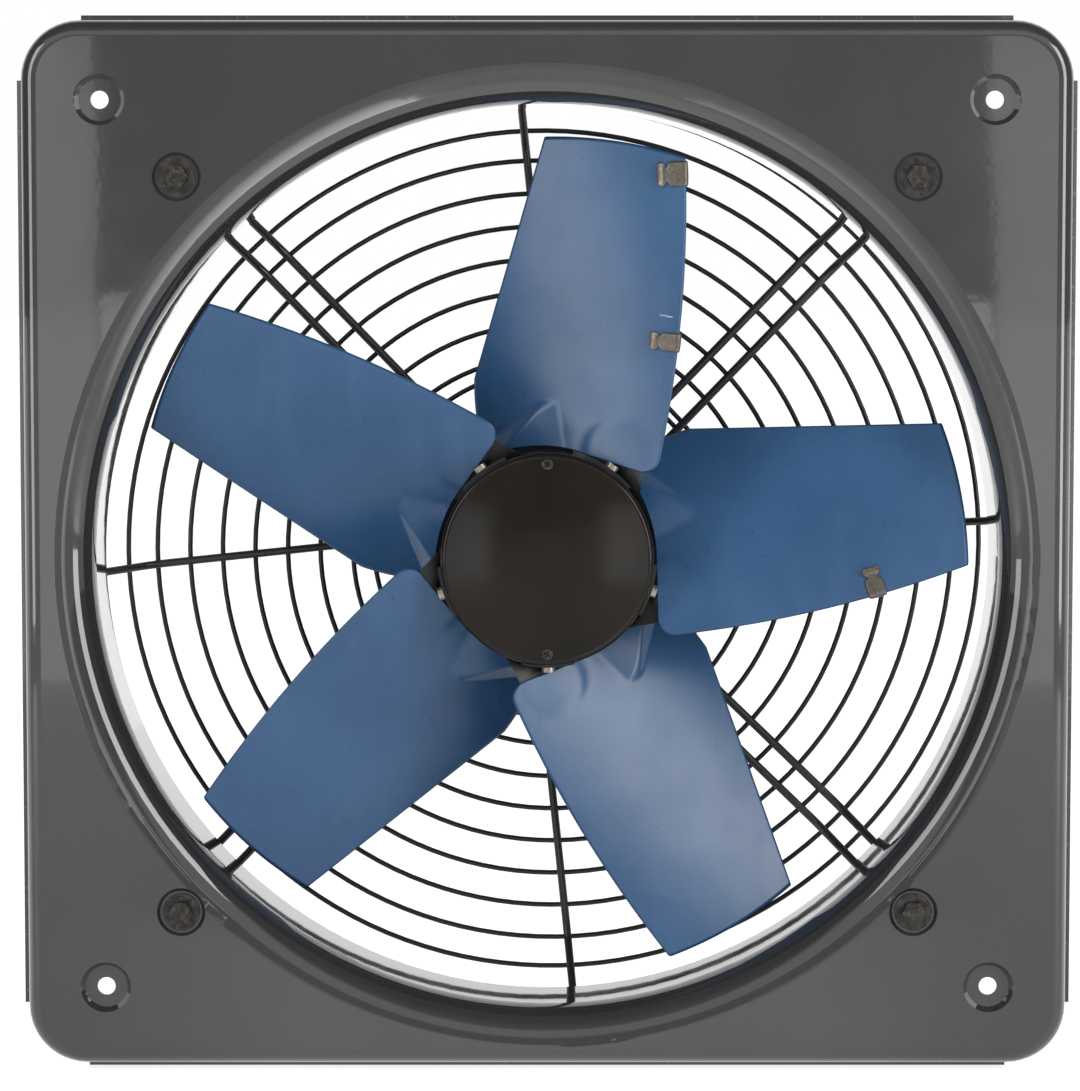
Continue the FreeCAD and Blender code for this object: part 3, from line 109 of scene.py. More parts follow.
# The clip's strip, by its place inward from the blade's edge
CLIP_HALF_T = 0.35
CLIP_CROWN = 0.25
CLIP_EDGE_ROUND = 0.12
CLIP_TAIL_END = 12.2
CLIP_BEND_AT = 0.2
CLIP_BACK_END = 8.0
CLIP_CURL_FROM = 8.9
CLIP_CURL = 0.24
CLIP_WAIST_AT = 8.5
CLIP_WAIST_REACH = 0.9
CLIP_WAIST_CUT = 0.42
CLIP_TAIL_CORNER = np.array((0.82, 0.9, 0.95, 0.98))
CLIP_FRONT_ROWS = 40
CLIP_BEND_ROWS = 15
CLIP_BACK_ROWS = 16
CLIP_ROWS = CLIP_FRONT_ROWS + CLIP_BEND_ROWS + CLIP_BACK_ROWS
CLIP_COLUMNS = 13

# The cross recess of the hub screws
SCREW_STEPS = 72
SCREW_HEAD_RINGS = 26
RECESS_HALF_WIDTH = 0.42
RECESS_HALF_LENGTH = 1.6
RECESS_DEPTH = 0.9
RECESS_WALL = 0.25
RECESS_TURN = 0.5
MM = 0.001


# Materials: every one is built from nodes, in object space, so its grain has a real size

class Look:
    """A principled shader with object-space coordinates and short helpers for its texture nodes."""

    def __init__(self, name):
        self.material = bpy.data.materials.new(name)
        self.material.use_nodes = True
        self.tree = self.material.node_tree
        self.tree.nodes.clear()
        out = self.node("OutputMaterial")
        self.bsdf = self.node("BsdfPrincipled")
        self.link(self.bsdf.outputs["BSDF"], out.inputs["Surface"])
        self.place = self.node("TexCoord").outputs["Object"]
        self.last_bump = None

    def node(self, kind, **settings):
        made = self.tree.nodes.new("ShaderNode" + kind)
        for key, value in settings.items():
            setattr(made, key, value)
        return made

    def link(self, source, target):
        self.tree.links.new(source, target)

    def feed(self, value, target):
        if isinstance(value, bpy.types.NodeSocket):
            self.link(value, target)
        else:
            target.default_value = value

    def noise(self, scale, detail=2.0, stretch=None):
        place = self.place
        if stretch is not None:
            mapping = self.node("Mapping")
            mapping.inputs["Scale"].default_value = stretch
            self.link(place, mapping.inputs["Vector"])
            place = mapping.outputs["Vector"]
        made = self.node("TexNoise")
        made.inputs["Scale"].default_value = scale
        made.inputs["Detail"].default_value = detail
        self.link(place, made.inputs["Vector"])
        return made.outputs["Fac"]

    def cells(self, scale):
        made = self.node("TexVoronoi", feature="SMOOTH_F1")
        made.inputs["Scale"].default_value = scale
        made.inputs["Smoothness"].default_value = 0.6
        self.link(self.place, made.inputs["Vector"])
        return made.outputs["Distance"]

    def axis(self, name, source=None):
        split = self.node("SeparateXYZ")
        self.link(self.place if source is None else source, split.inputs["Vector"])
        return split.outputs[name]

    def facing(self, name):
        return self.axis(name, self.node("NewGeometry").outputs["Normal"])

    def math(self, operation, first, second=0.0):
        made = self.node("Math", operation=operation)
        self.feed(first, made.inputs[0])
        self.feed(second, made.inputs[1])
        return made.outputs[0]

    def remap(self, value, low, high, to_low=0.0, to_high=1.0):
        made = self.node("MapRange", interpolation_type="SMOOTHSTEP")
        self.feed(value, made.inputs["Value"])
        made.inputs["From Min"].default_value = low
        made.inputs["From Max"].default_value = high
        made.inputs["To Min"].default_value = to_low
        made.inputs["To Max"].default_value = to_high
        return made.outputs["Result"]

    def blend(self, share, first, second):
        made = self.node("Mix", data_type="RGBA")
        self.feed(share, made.inputs["Factor"])
        for value, target in ((first, made.inputs[6]), (second, made.inputs[7])):
            self.feed(value if isinstance(value, bpy.types.NodeSocket) else (*value, 1.0), target)
        return made.outputs[2]

    def colour(self, value):
        self.feed(value, self.bsdf.inputs["Base Color"])

    def rough(self, value):
        self.feed(value, self.bsdf.inputs["Roughness"])

    def relief(self, height, depth_m):
        made = self.node("Bump")
        made.inputs["Strength"].default_value = 1.0
        made.inputs["Distance"].default_value = depth_m
        self.link(height, made.inputs["Height"])
        if self.last_bump is not None:
            self.link(self.last_bump, made.inputs["Normal"])
        self.last_bump = made.outputs["Normal"]
        self.feed(self.last_bump, self.bsdf.inputs["Normal"])

    def set(self, **values):
        for key, value in values.items():
            self.bsdf.inputs[key.replace("_", " ")].default_value = value


def linear(code):
    # A colour as it shows on screen, from a hex code, as the linear values that shaders take
    channels = [int(code[i:i + 2], 16) / 255 for i in (0, 2, 4)]
    return tuple(c / 12.92 if c <= 0.04045 else ((c + 0.055) / 1.055) ** 2.4 for c in channels)


def plate_enamel():
    look = Look("plate_enamel")
    clouds = look.noise(14.0, 3.0)
    fine = look.noise(900.0, 1.0)
    tone = look.blend(look.remap(clouds, 0.3, 0.7), linear("343434"), linear("393939"))
    tone = look.blend(look.remap(fine, 0.55, 0.75, 0.0, 0.25), tone, linear("444444"))
    across = look.math("ABSOLUTE", look.axis("X"))
    upward = look.math("ABSOLUTE", look.axis("Z"))
    edge = look.remap(look.math("MAXIMUM", across, upward), 0.2462, 0.2478)
    chips = look.remap(look.noise(420.0, 3.0), 0.62, 0.68)
    wear = look.math("MULTIPLY", look.math("MULTIPLY", edge, chips), 0.55)
    look.colour(look.blend(wear, tone, linear("76736e")))
    dust = look.noise(38.0, 4.0)
    look.rough(look.remap(dust, 0.3, 0.75, 0.04, 0.09))
    look.relief(look.noise(7.0, 1.0), 0.0005)
    look.relief(look.noise(260.0, 1.0), 0.000005)
    look.link(look.last_bump, look.bsdf.inputs["Coat Normal"])
    look.set(Specular_IOR_Level=0.5, Coat_Weight=1.0, Coat_Roughness=0.03, Coat_IOR=1.5)
    return look.material


def blade_enamel(scratch_at=None):
    look = Look("blade_enamel" if scratch_at is None else "blade_enamel_marked")
    clouds = look.noise(16.0, 3.0)
    wiped = look.noise(60.0, 3.0, (1.0, 0.4, 0.25))
    tone = look.blend(look.remap(clouds, 0.3, 0.7), linear("315984"), linear("3b6490"))
    tone = look.blend(look.remap(wiped, 0.5, 0.8, 0.0, 0.35), tone, linear("4a719a"))
    specks = look.remap(look.noise(260.0, 2.0), 0.715, 0.74)
    tone = look.blend(look.math("MULTIPLY", specks, 0.5), tone, linear("20364f"))
    if scratch_at is not None:
        tone = look.blend(scratch(look, *scratch_at), tone, linear("c9cfd8"))
    look.colour(tone)
    look.rough(look.remap(look.noise(45.0, 3.0), 0.3, 0.7, 0.23, 0.29))
    look.relief(look.noise(30.0, 1.0), 0.00008)
    look.relief(look.noise(620.0, 1.5), 0.000014)
    look.set(Specular_IOR_Level=0.5)
    return look.material


def scratch(look, start, end, half_width):
    # A short pale line between two points of the front view, broken up by fine noise
    along = (end - start).normalized()
    offset = look.node("VectorMath", operation="SUBTRACT")
    look.link(look.place, offset.inputs[0])
    offset.inputs[1].default_value = start
    reach = look.node("VectorMath", operation="DOT_PRODUCT")
    look.link(offset.outputs["Vector"], reach.inputs[0])
    reach.inputs[1].default_value = along
    side = look.node("VectorMath", operation="DOT_PRODUCT")
    look.link(offset.outputs["Vector"], side.inputs[0])
    side.inputs[1].default_value = Vector((-along.z, 0.0, along.x))
    wander = look.math("MULTIPLY", look.math("SUBTRACT", look.noise(500.0), 0.5), 4 * half_width)
    distance = look.math("ABSOLUTE", look.math("ADD", side.outputs["Value"], wander))
    line = look.remap(distance, half_width, 0.6 * half_width)
    length = (end - start).length
    inside = look.remap(look.math("ABSOLUTE", look.math("SUBTRACT", reach.outputs["Value"], length / 2)),
                        length / 2, length / 2 - 0.002)
    return look.math("MULTIPLY", line, inside)


def wire_enamel(name, dark, pale, low, high):
    look = Look(name)
    tone = look.blend(look.remap(look.noise(25.0, 3.0), 0.35, 0.7), linear(dark), linear(pale))
    top = look.remap(look.facing("Z"), 0.3, 1.0, 0.0, 0.3)
    dust = look.math("MULTIPLY", top, look.remap(look.noise(180.0, 3.0), 0.4, 0.7))
    look.colour(look.blend(dust, tone, linear("4a4845")))
    look.rough(look.remap(look.noise(90.0, 2.0), 0.3, 0.7, low, high))
    look.relief(look.noise(800.0, 1.5), 0.00001)
    return look.material


def rotor_lacquer():
    look = Look("rotor_lacquer")
    tone = look.blend(look.remap(look.noise(20.0, 3.0), 0.3, 0.7), linear("19150f"), linear("221c16"))
    specks = look.remap(look.noise(700.0, 1.0), 0.66, 0.72, 0.0, 0.15)
    look.colour(look.blend(specks, tone, linear("403a33")))
    look.rough(look.remap(look.noise(60.0, 3.0), 0.3, 0.7, 0.1, 0.15))
    look.relief(look.noise(520.0, 2.0), 0.000003)
    look.set(Specular_IOR_Level=0.25)
    return look.material


def bracket_lacquer():
    look = Look("bracket_lacquer")
    tone = look.blend(look.remap(look.noise(40.0, 3.0), 0.3, 0.7), linear("101010"), linear("1b1a19"))
    look.colour(tone)
    look.rough(look.remap(look.noise(120.0, 3.0), 0.3, 0.7, 0.3, 0.45))
    look.relief(look.noise(900.0, 2.0), 0.000012)
    return look.material


def plated_steel(name, dark, pale, low, high, metallic=0.9):
    # Zinc plate: small crystals of slightly different grey, duller where handled
    look = Look(name)
    crystals = look.cells(900.0)
    tone = look.blend(look.remap(crystals, 0.1, 0.7), linear(pale), linear(dark))
    stain = look.remap(look.noise(140.0, 4.0), 0.5, 0.75, 0.0, 0.6)
    look.colour(look.blend(stain, tone, linear("5a5146")))
    look.rough(look.remap(look.noise(260.0, 3.0), 0.3, 0.7, low, high))
    look.relief(crystals, 0.00001)
    look.set(Metallic=metallic)
    return look.material


def dark_bolt(name):
    look = Look(name)
    tone = look.blend(look.remap(look.noise(300.0, 3.0), 0.35, 0.7), linear("2f2d2b"), linear("4a4744"))
    look.colour(look.blend(look.remap(look.noise(900.0, 2.0), 0.62, 0.7, 0.0, 0.6), tone, linear("7a746a")))
    look.rough(look.remap(look.noise(400.0, 2.0), 0.3, 0.7, 0.28, 0.45))
    look.relief(look.noise(700.0, 2.0), 0.00002)
    look.set(Metallic=0.55)
    return look.material


def cast_metal():
    look = Look("cast_metal")
    look.colour(look.blend(look.remap(look.noise(90.0, 4.0), 0.3, 0.7), linear("8d8c89"), linear("a5a4a1")))
    look.rough(look.remap(look.noise(300.0, 3.0), 0.3, 0.7, 0.45, 0.62))
    look.relief(look.noise(650.0, 3.0), 0.00004)
    look.set(Metallic=0.85)
    return look.material


def ground_steel():
    look = Look("ground_steel")
    lines = look.noise(900.0, 2.0, (0.15, 1.0, 0.15))
    look.colour(look.blend(look.remap(lines, 0.35, 0.65), linear("a3a2a0"), linear("c2c1be")))
    look.rough(look.remap(look.noise(500.0, 2.0), 0.3, 0.7, 0.14, 0.26))
    look.relief(lines, 0.000004)
    look.set(Metallic=1.0)
    return look.material


def stacked_sheet():
    look = Look("stacked_sheet")
    wave = look.node("TexWave", wave_type="BANDS", bands_direction="Y")
    wave.inputs["Scale"].default_value = 320.0
    wave.inputs["Distortion"].default_value = 0.4
    look.link(look.place, wave.inputs["Vector"])
    look.colour(look.blend(wave.outputs["Fac"], linear("4c4946"), linear("6d6964")))
    look.rough(look.remap(look.noise(300.0, 3.0), 0.3, 0.7, 0.4, 0.6))
    look.relief(wave.outputs["Fac"], 0.00004)
    look.set(Metallic=0.7)
    return look.material


def wound_copper():
    look = Look("wound_copper")
    wave = look.node("TexWave", wave_type="RINGS", rings_direction="Y")
    wave.inputs["Scale"].default_value = 260.0
    wave.inputs["Distortion"].default_value = 1.5
    look.link(look.place, wave.inputs["Vector"])
    look.colour(look.blend(wave.outputs["Fac"], linear("7a3d1c"), linear("b8733f")))
    look.rough(look.remap(look.noise(200.0, 2.0), 0.3, 0.7, 0.25, 0.4))
    look.relief(wave.outputs["Fac"], 0.00015)
    look.set(Metallic=0.8)
    return look.material


def moulded(name, deep, pale, low, high):
    # Moulded plastic: spark-eroded grain with a slight cloud in its tone
    look = Look(name)
    look.colour(look.blend(look.remap(look.noise(30.0, 3.0), 0.3, 0.7), linear(deep), linear(pale)))
    look.rough(look.remap(look.noise(220.0, 3.0), 0.3, 0.7, low, high))
    look.relief(look.noise(1100.0, 2.0), 0.00003)
    return look.material


def paint(material, *names):
    for name in names:
        slots = nodes[name].data.materials
        slots.clear()
        slots.append(material)


BLADES = ["blade_%d" % (k + 1) for k in range(BLADE_COUNT)]
paint(plate_enamel(), "mounting_plate")
paint(wire_enamel("wire_enamel", "151515", "1f1f1f", 0.26, 0.4),
      "guard_spiral", "guard_inner_ring", "motor_plate")
# The support rods and spokes get a paler copy of the guard's black enamel. The paler tone is painted light,
# for the front light their round tops catch, and the spiral keeps the darker copy.
paint(wire_enamel("rod_enamel_painted_light", "272727", "333333", 0.18, 0.3),
      "guard_spokes", *["support_rod_%d" % (k + 1) for k in range(4)])
paint(rotor_lacquer(), "hub_cap", "rotor_can")
paint(bracket_lacquer(), *["blade_bracket_%d" % (k + 1) for k in range(BLADE_COUNT)])
paint(plated_steel("zinc_plate", "9a958b", "b9b4a8", 0.22, 0.4),
      "foot_washers", "guard_nuts", "motor_screws", "box_screws", "lid_screws", "bracket_screws")
paint(dark_bolt("dark_bolt"), "guard_bolts", "bolt_washers")
paint(cast_metal(), "motor_flange")
paint(ground_steel(), "bearing_tube", "rotor_shaft", "shaft_circlip",
      *["%s_bearing_%s" % (end, piece) for end in ("front", "rear") for piece in ("outer", "inner", "balls")])
paint(stacked_sheet(), "stator_core", "rotor_core")
paint(wound_copper(), "front_winding", "rear_winding")
paint(moulded("box_plastic", "131313", "1c1c1c", 0.42, 0.58),
      "terminal_box", "terminal_box_lid", "cable_gland", "gland_cap", "gland_locknut")
paint(moulded("seal_rubber", "0d0d0d", "161616", 0.7, 0.85), "lid_gasket")
paint(moulded("pale_plastic", "b9b6ab", "cbc8be", 0.4, 0.55), "run_capacitor", "terminal_block")


# Blades: the same twisted sheet as the solids, as a dense mesh with soft pressings and rolled edges

def section_at(section, share, offset):
    half_chord, camber, stagger, middle = section
    along = share * half_chord
    rise = offset - camber * (1 - share * share)
    depth = middle + along * math.sin(stagger) + rise * math.cos(stagger)
    return depth, along * math.cos(stagger) - rise * math.sin(stagger)


def sheet_depth(u, v):
    # Depth of the sheet's middle behind the place u, v of the front view
    outward = (u - LOFT_IN_U) / (LOFT_OUT_U - LOFT_IN_U)
    low = np.full(u.shape, -SHARE_LIMIT)
    high = np.full(u.shape, SHARE_LIMIT)
    for _ in range(HALVINGS):
        share = (low + high) / 2
        root = section_at(ROOT_SECTION, share, 0)
        tip = section_at(TIP_SECTION, share, 0)
        short = root[1] + (tip[1] - root[1]) * outward < v
        low = np.where(short, share, low)
        high = np.where(short, high, share)
    return root[0] + (tip[0] - root[0]) * outward


def polar(place):
    angle = math.radians(place[1])
    return np.array((place[0] * math.cos(angle), place[0] * math.sin(angle)))


def soft_max(first, second, reach):
    gap = np.clip(0.5 + (first - second) / (2 * reach), 0, 1)
    return second + (first - second) * gap + reach * gap * (1 - gap)


def pressed(u, v):
    # Height of the dart and of the pad above the plain sheet
    tip, low, high, crest = polar(DART_TIP), polar(DART_LOW), polar(DART_HIGH), polar(DART_CREST)

    def slope(edge_start, edge_end):
        edge = edge_end - edge_start
        normal = np.array((-edge[1], edge[0])) / np.hypot(*edge)
        rise = float((crest - edge_start) @ normal)
        return ((u - edge_start[0]) * normal[0] + (v - edge_start[1]) * normal[1]) * DART_HEIGHT / rise

    nose = np.exp(-(np.hypot(u - tip[0], v - tip[1]) / DART_NOSE_REACH) ** 2)
    facets = -soft_max(-slope(tip, high), -slope(tip, low), DART_RIDGE_SOFT + DART_NOSE_SOFT * nose)
    dart = soft_max(facets, np.zeros(u.shape), DART_FOOT_SOFT)
    middle = polar(LOBE_MIDDLE)
    inside = LOBE_R - np.hypot(u - middle[0], v - middle[1])
    level = PAD_HEIGHT + PAD_TILT * (v - middle[1])
    pad = -soft_max(-PAD_SHOULDER_SLOPE * inside, -level, PAD_SHOULDER_SOFT)
    return dart, soft_max(pad, np.zeros(u.shape), PAD_FOOT_SOFT)


def arc_points(start, middle, end, count):
    # Points on the circle through three points of the front view
    a, b, c = (np.asarray(p, float) for p in (start, middle, end))
    left = np.array((b - a, c - b)) * 2
    centre = np.linalg.solve(left, [b @ b - a @ a, c @ c - b @ b])
    angles = [math.atan2(*(p - centre)[::-1]) for p in (a, b, c)]
    turn = (angles[2] - angles[0]) % (2 * math.pi)
    if (angles[1] - angles[0]) % (2 * math.pi) > turn:
        turn -= 2 * math.pi
    sweep = angles[0] + turn * np.linspace(0, 1, count)
    return centre + np.hypot(*(a - centre)) * np.stack((np.cos(sweep), np.sin(sweep)), 1)


def spaced(points, shares):
    # Points of the same line at shares of its length
    steps = np.r_[0, np.cumsum(np.hypot(*np.diff(points, axis=0).T))]
    return np.stack([np.interp(shares * steps[-1], steps, points[:, i]) for i in (0, 1)], 1)


def blade_sides():
    touch = math.radians(ROOT_LINE_DEG)
    corner = np.array(((BLADE_ROOT_R - LEAD_ROOT_V * math.sin(touch)) / math.cos(touch), LEAD_ROOT_V))
    lead_root = corner + (ROOT_CORNER_R, 0)
    root_lead = polar((BLADE_ROOT_R, ROOT_LINE_DEG))
    run = (root_lead - corner) / np.hypot(*(root_lead - corner))
    corner_end = corner + run * ROOT_CORNER_R
    centre = lead_root + corner_end - corner
    inner = (corner - centre) / np.hypot(*(corner - centre))
    corner_middle = centre + inner * np.hypot(*(lead_root - centre))
    root_trail = polar((BLADE_ROOT_R, TRAIL_ROOT_DEG))
    root_middle = polar((BLADE_ROOT_R, (ROOT_LINE_DEG + TRAIL_ROOT_DEG) / 2))
    lead_tip = np.array((math.sqrt(BLADE_TIP_R ** 2 - LEAD_TIP_V ** 2), LEAD_TIP_V))
    trail_tip = np.array((math.sqrt(BLADE_TIP_R ** 2 - TRAIL_TIP_V ** 2), TRAIL_TIP_V))
    rise = TRAIL_SHOULDER - root_trail
    out = np.array((-rise[1], rise[0])) / np.hypot(*rise)
    swell = (TRAIL_SHOULDER + root_trail) / 2 + out * TRAIL_SWELL
    root = np.vstack((arc_points(lead_root, corner_middle, corner_end, 12),
                      np.linspace(corner_end, root_lead, 30),
                      arc_points(root_lead, root_middle, root_trail, 60)))
    trail = np.vstack((arc_points(root_trail, swell, TRAIL_SHOULDER, 30),
                       np.linspace(TRAIL_SHOULDER, trail_tip, 80)))
    lead = arc_points(lead_root, LEAD_MIDDLE, lead_tip, 100)
    tip = arc_points(lead_tip, (BLADE_TIP_R, 0), trail_tip, 60)
    return root, tip, lead, trail


def blade_net(across, along):
    # A net of places over the front view of the blade, fitted to its four sides and finer near the root
    s = np.linspace(0, 1, across)
    t = np.linspace(0, 1, along) ** 1.6
    root, tip, lead, trail = (spaced(side, shares) for side, shares in zip(blade_sides(), (s, s, t, t)))
    s = s[None, :, None]
    t = t[:, None, None]
    net = (1 - t) * root[None] + t * tip[None] + (1 - s) * lead[:, None] + s * trail[:, None]
    net -= (1 - s) * (1 - t) * root[0] + s * (1 - t) * root[-1] + (1 - s) * t * tip[0] + s * t * tip[-1]
    return net


def in_space(places, offset_share, press=True):
    # Points at a share of the sheet's half thickness before (-1) or behind (1) its middle
    u, v = places[..., 0], places[..., 1]
    step = 0.05
    depth = sheet_depth(u, v)
    slope_u = (sheet_depth(u + step, v) - sheet_depth(u - step, v)) / (2 * step)
    slope_v = (sheet_depth(u, v + step) - sheet_depth(u, v - step)) / (2 * step)
    size = np.sqrt(1 + slope_u ** 2 + slope_v ** 2)
    dart, pad = pressed(u, v)
    offset = offset_share * BLADE_T / 2 - dart - (pad if press else 0)
    x = u - slope_u / size * offset
    y = depth + offset / size + FACE_Y
    return np.stack((x, y, v - slope_v / size * offset), -1)


def around(net):
    # The border of a net, once round
    return np.concatenate((net[0, :-1], net[:-1, -1], net[-1, :0:-1], net[:0:-1, 0]))


def band(near, far):
    # Faces between two closed rows of as many points
    return np.stack((near, np.roll(near, -1), np.roll(far, -1), far), -1)


def blade_turn(k):
    return BLADE_START_DEG + 360 / BLADE_COUNT * k


def blade_mesh():
    # Front and rear nets, joined by rows of points that roll round the edge
    count = NET_ACROSS * NET_ALONG
    net = blade_net(NET_ACROSS, NET_ALONG)
    rim = around(net)
    ahead = np.roll(rim, -1, 0) - np.roll(rim, 1, 0)
    inward = np.stack((-ahead[:, 1], ahead[:, 0]), 1) / np.hypot(*ahead.T)[:, None]
    index = np.arange(count).reshape(NET_ALONG, NET_ACROSS)
    border = around(index)
    flat = net.reshape(-1, 2).copy()
    flat[border] = rim + inward * EDGE_ROLL
    front = in_space(flat, -1.0)
    rear = in_space(flat, 1.0, press=False)
    rows = [in_space(rim + inward * EDGE_ROLL * gap, side, press=side < 0) for gap, side in EDGE_ROLL_ROWS]
    points = np.vstack([front, rear] + rows)
    quads = np.stack((index[:-1, :-1], index[1:, :-1], index[1:, 1:], index[:-1, 1:]), -1).reshape(-1, 4)
    faces = [quads, quads[:, ::-1] + count]
    chain = [2 * count + k * len(rim) + np.arange(len(rim)) for k in range(len(rows))]
    chain = [border] + chain + [border + count]
    faces += [band(near, far) for near, far in zip(chain[:-1], chain[1:])]
    return points, np.vstack(faces).tolist()


def turned(points, turn_deg):
    # Points of the blade that lies along X, turned about the fan axis and lowered to it
    turn = math.radians(turn_deg)
    x = points[:, 0] * math.cos(turn) - points[:, 2] * math.sin(turn)
    z = points[:, 0] * math.sin(turn) + points[:, 2] * math.cos(turn) - FAN_DROP
    return np.stack((x, points[:, 1], z), 1) * MM


def new_piece(name, points, faces, material):
    mesh = bpy.data.meshes.new(name)
    mesh.from_pydata(points, [], faces)
    mesh.polygons.foreach_set("use_smooth", [True] * len(mesh.polygons))
    mesh.update()
    mesh.materials.append(material)
    made = bpy.data.objects.new(name, mesh)
    bpy.context.scene.collection.objects.link(made)
    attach(made, "rotor")
    return made


plain_blade = blade_enamel()
marked_blade = blade_enamel((Vector((0.0525, 0.0, 0.1095)), Vector((0.0600, 0.0, 0.1080)), 0.0003))
blade_points, blade_faces = blade_mesh()
for k, name in enumerate(BLADES):
    points = turned(blade_points, blade_turn(k))
    enamel = marked_blade if k == 1 else plain_blade
    piece = new_piece("pressed_" + name, points, blade_faces, enamel)
    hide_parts(name)


# Balance clips: sheet folded over the leading edge, with a waist and a tail that curls up

def clip_strip(half_length):
    # Points of the sheet's two faces by their places inward, along the edge and off the sheet
    front = slice(0, CLIP_FRONT_ROWS)
    bend = slice(CLIP_FRONT_ROWS, CLIP_FRONT_ROWS + CLIP_BEND_ROWS)
    turn = np.linspace(0, math.pi, CLIP_BEND_ROWS + 2)[1:-1]
    inward = np.r_[np.linspace(CLIP_TAIL_END, CLIP_BEND_AT, CLIP_FRONT_ROWS),
                   np.full(CLIP_BEND_ROWS, CLIP_BEND_AT),
                   np.linspace(CLIP_BEND_AT, CLIP_BACK_END, CLIP_BACK_ROWS)]
    off = np.r_[np.full(CLIP_FRONT_ROWS, CLIP_OFF),
                CLIP_OFF * np.cos(turn),
                np.full(CLIP_BACK_ROWS, -CLIP_OFF)]
    inward[bend] -= CLIP_OFF * np.sin(turn)
    off[front] += CLIP_CURL * np.clip(inward[front] - CLIP_CURL_FROM, 0, None) ** 2
    waist = np.exp(-((inward - CLIP_WAIST_AT) / CLIP_WAIST_REACH) ** 2) * (off > 0)
    width = half_length * (1 - CLIP_WAIST_CUT * waist)
    width[:len(CLIP_TAIL_CORNER)] *= CLIP_TAIL_CORNER
    ahead = np.stack((np.gradient(inward), np.gradient(off)), 1)
    ahead /= np.hypot(*ahead.T)[:, None]
    across = np.linspace(-1, 1, CLIP_COLUMNS)
    faces = []
    for side in (CLIP_HALF_T, -CLIP_HALF_T):
        lift = side * np.ones(CLIP_COLUMNS) + CLIP_CROWN * (1 - across ** 2)
        lift[[0, -1]] -= CLIP_EDGE_ROUND * np.sign(side)
        place_in = inward[:, None] + ahead[:, 1:] * lift
        place_off = off[:, None] - ahead[:, :1] * lift
        faces.append(np.stack((place_in, width[:, None] * across, place_off), -1))
    return np.stack(faces)


def clip_points(u, half_length):
    lead = blade_sides()[2]

    def edge_at(place, inward=0.0):
        return in_space(np.array((place, np.interp(place, lead[:, 0], lead[:, 1]) + inward)), 0.0)

    along = edge_at(u + 6.0) - edge_at(u - 6.0)
    along /= np.linalg.norm(along)
    normal = np.cross(along, edge_at(u, 10.0) - edge_at(u))
    normal /= np.linalg.norm(normal)
    chord = np.cross(normal, along)
    strip = clip_strip(half_length).reshape(-1, 3)
    return edge_at(u) + strip[:, :1] * chord + strip[:, 1:2] * along + strip[:, 2:] * normal


def clip_faces(first):
    index = first + np.arange(2 * CLIP_ROWS * CLIP_COLUMNS).reshape(2, CLIP_ROWS, CLIP_COLUMNS)
    quads = []
    for net, flip in ((index[0], -1), (index[1], 1)):
        quad = np.stack((net[:-1, :-1], net[:-1, 1:], net[1:, 1:], net[1:, :-1]), -1).reshape(-1, 4)
        quads.append(quad[:, ::flip])
    quads.append(band(around(index[0]), around(index[1])))
    return np.vstack(quads).tolist()


points, faces = [], []
for k, inset, half_length in CLIPS:
    faces += clip_faces(sum(len(group) for group in points))
    points.append(turned(clip_points(BLADE_TIP_R - inset, half_length), blade_turn(k)))
clip_metal = plated_steel("zinc_clip", "655f56", "7b766c", 0.3, 0.45, 0.6)
clips = new_piece("folded_clips", np.vstack(points), faces, clip_metal)
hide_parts("balance_clips")


# Hub cap screws: pan heads with a cross recess

def screw_points(middle_z):
    # Rings from the middle of the head out to its rim and back along the shank
    turns = np.linspace(0, 2 * math.pi, SCREW_STEPS, endpoint=False)
    radii = np.linspace(0.01, 0.92, SCREW_HEAD_RINGS) * HUB_SCREW_R
    profile = [(r, 0.35 * (r / HUB_SCREW_R) ** 3) for r in radii]
    profile += [(0.98 * HUB_SCREW_R, 0.5), (HUB_SCREW_R, 0.8), (HUB_SCREW_R, 1.7)]
    profile += [(HUB_SCREW_SHANK_R, 1.75), (HUB_SCREW_SHANK_R, 9.0)]
    rings = []
    for r, depth in profile:
        x = np.abs(r * np.cos(turns + RECESS_TURN))
        z = np.abs(r * np.sin(turns + RECESS_TURN))
        inside = np.minimum(RECESS_HALF_WIDTH - np.minimum(x, z), RECESS_HALF_LENGTH - np.maximum(x, z))
        recess = RECESS_DEPTH * np.clip(inside / RECESS_WALL, 0, 1) * (depth < 0.5)
        ring = (r * np.cos(turns), HUB_SCREW_FRONT + depth + recess, middle_z + r * np.sin(turns))
        rings.append(np.stack(ring, 1))
    return np.vstack(rings)


def screw_faces(first, count):
    index = first + np.arange(count).reshape(-1, SCREW_STEPS)
    ahead = np.roll(index, -1, 1)
    quads = np.stack((index[:-1], index[1:], ahead[1:], ahead[:-1]), -1).reshape(-1, 4)
    return quads.tolist() + [index[0].tolist(), index[-1, ::-1].tolist()]


points, faces = [], []
for side in (1, -1):
    ring_points = screw_points(side * HUB_SCREW_PITCH_R)
    faces += screw_faces(sum(len(group) for group in points), len(ring_points))
    points.append(turned(ring_points, 0.0))
screws = new_piece("hub_screws", np.vstack(points), faces, dark_bolt("hub_screw"))
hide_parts("hub_cap_screws")


# Stage: pale floor, white surroundings, soft lights at both sides of the camera, in metres

FLOOR_GAP = 0.0005
FLOOR_REACH = 60.0
FRONT_LIGHT_Y = -1.74
LOW_LIGHT_X = 0.52
LOW_LIGHT_Z = -0.245


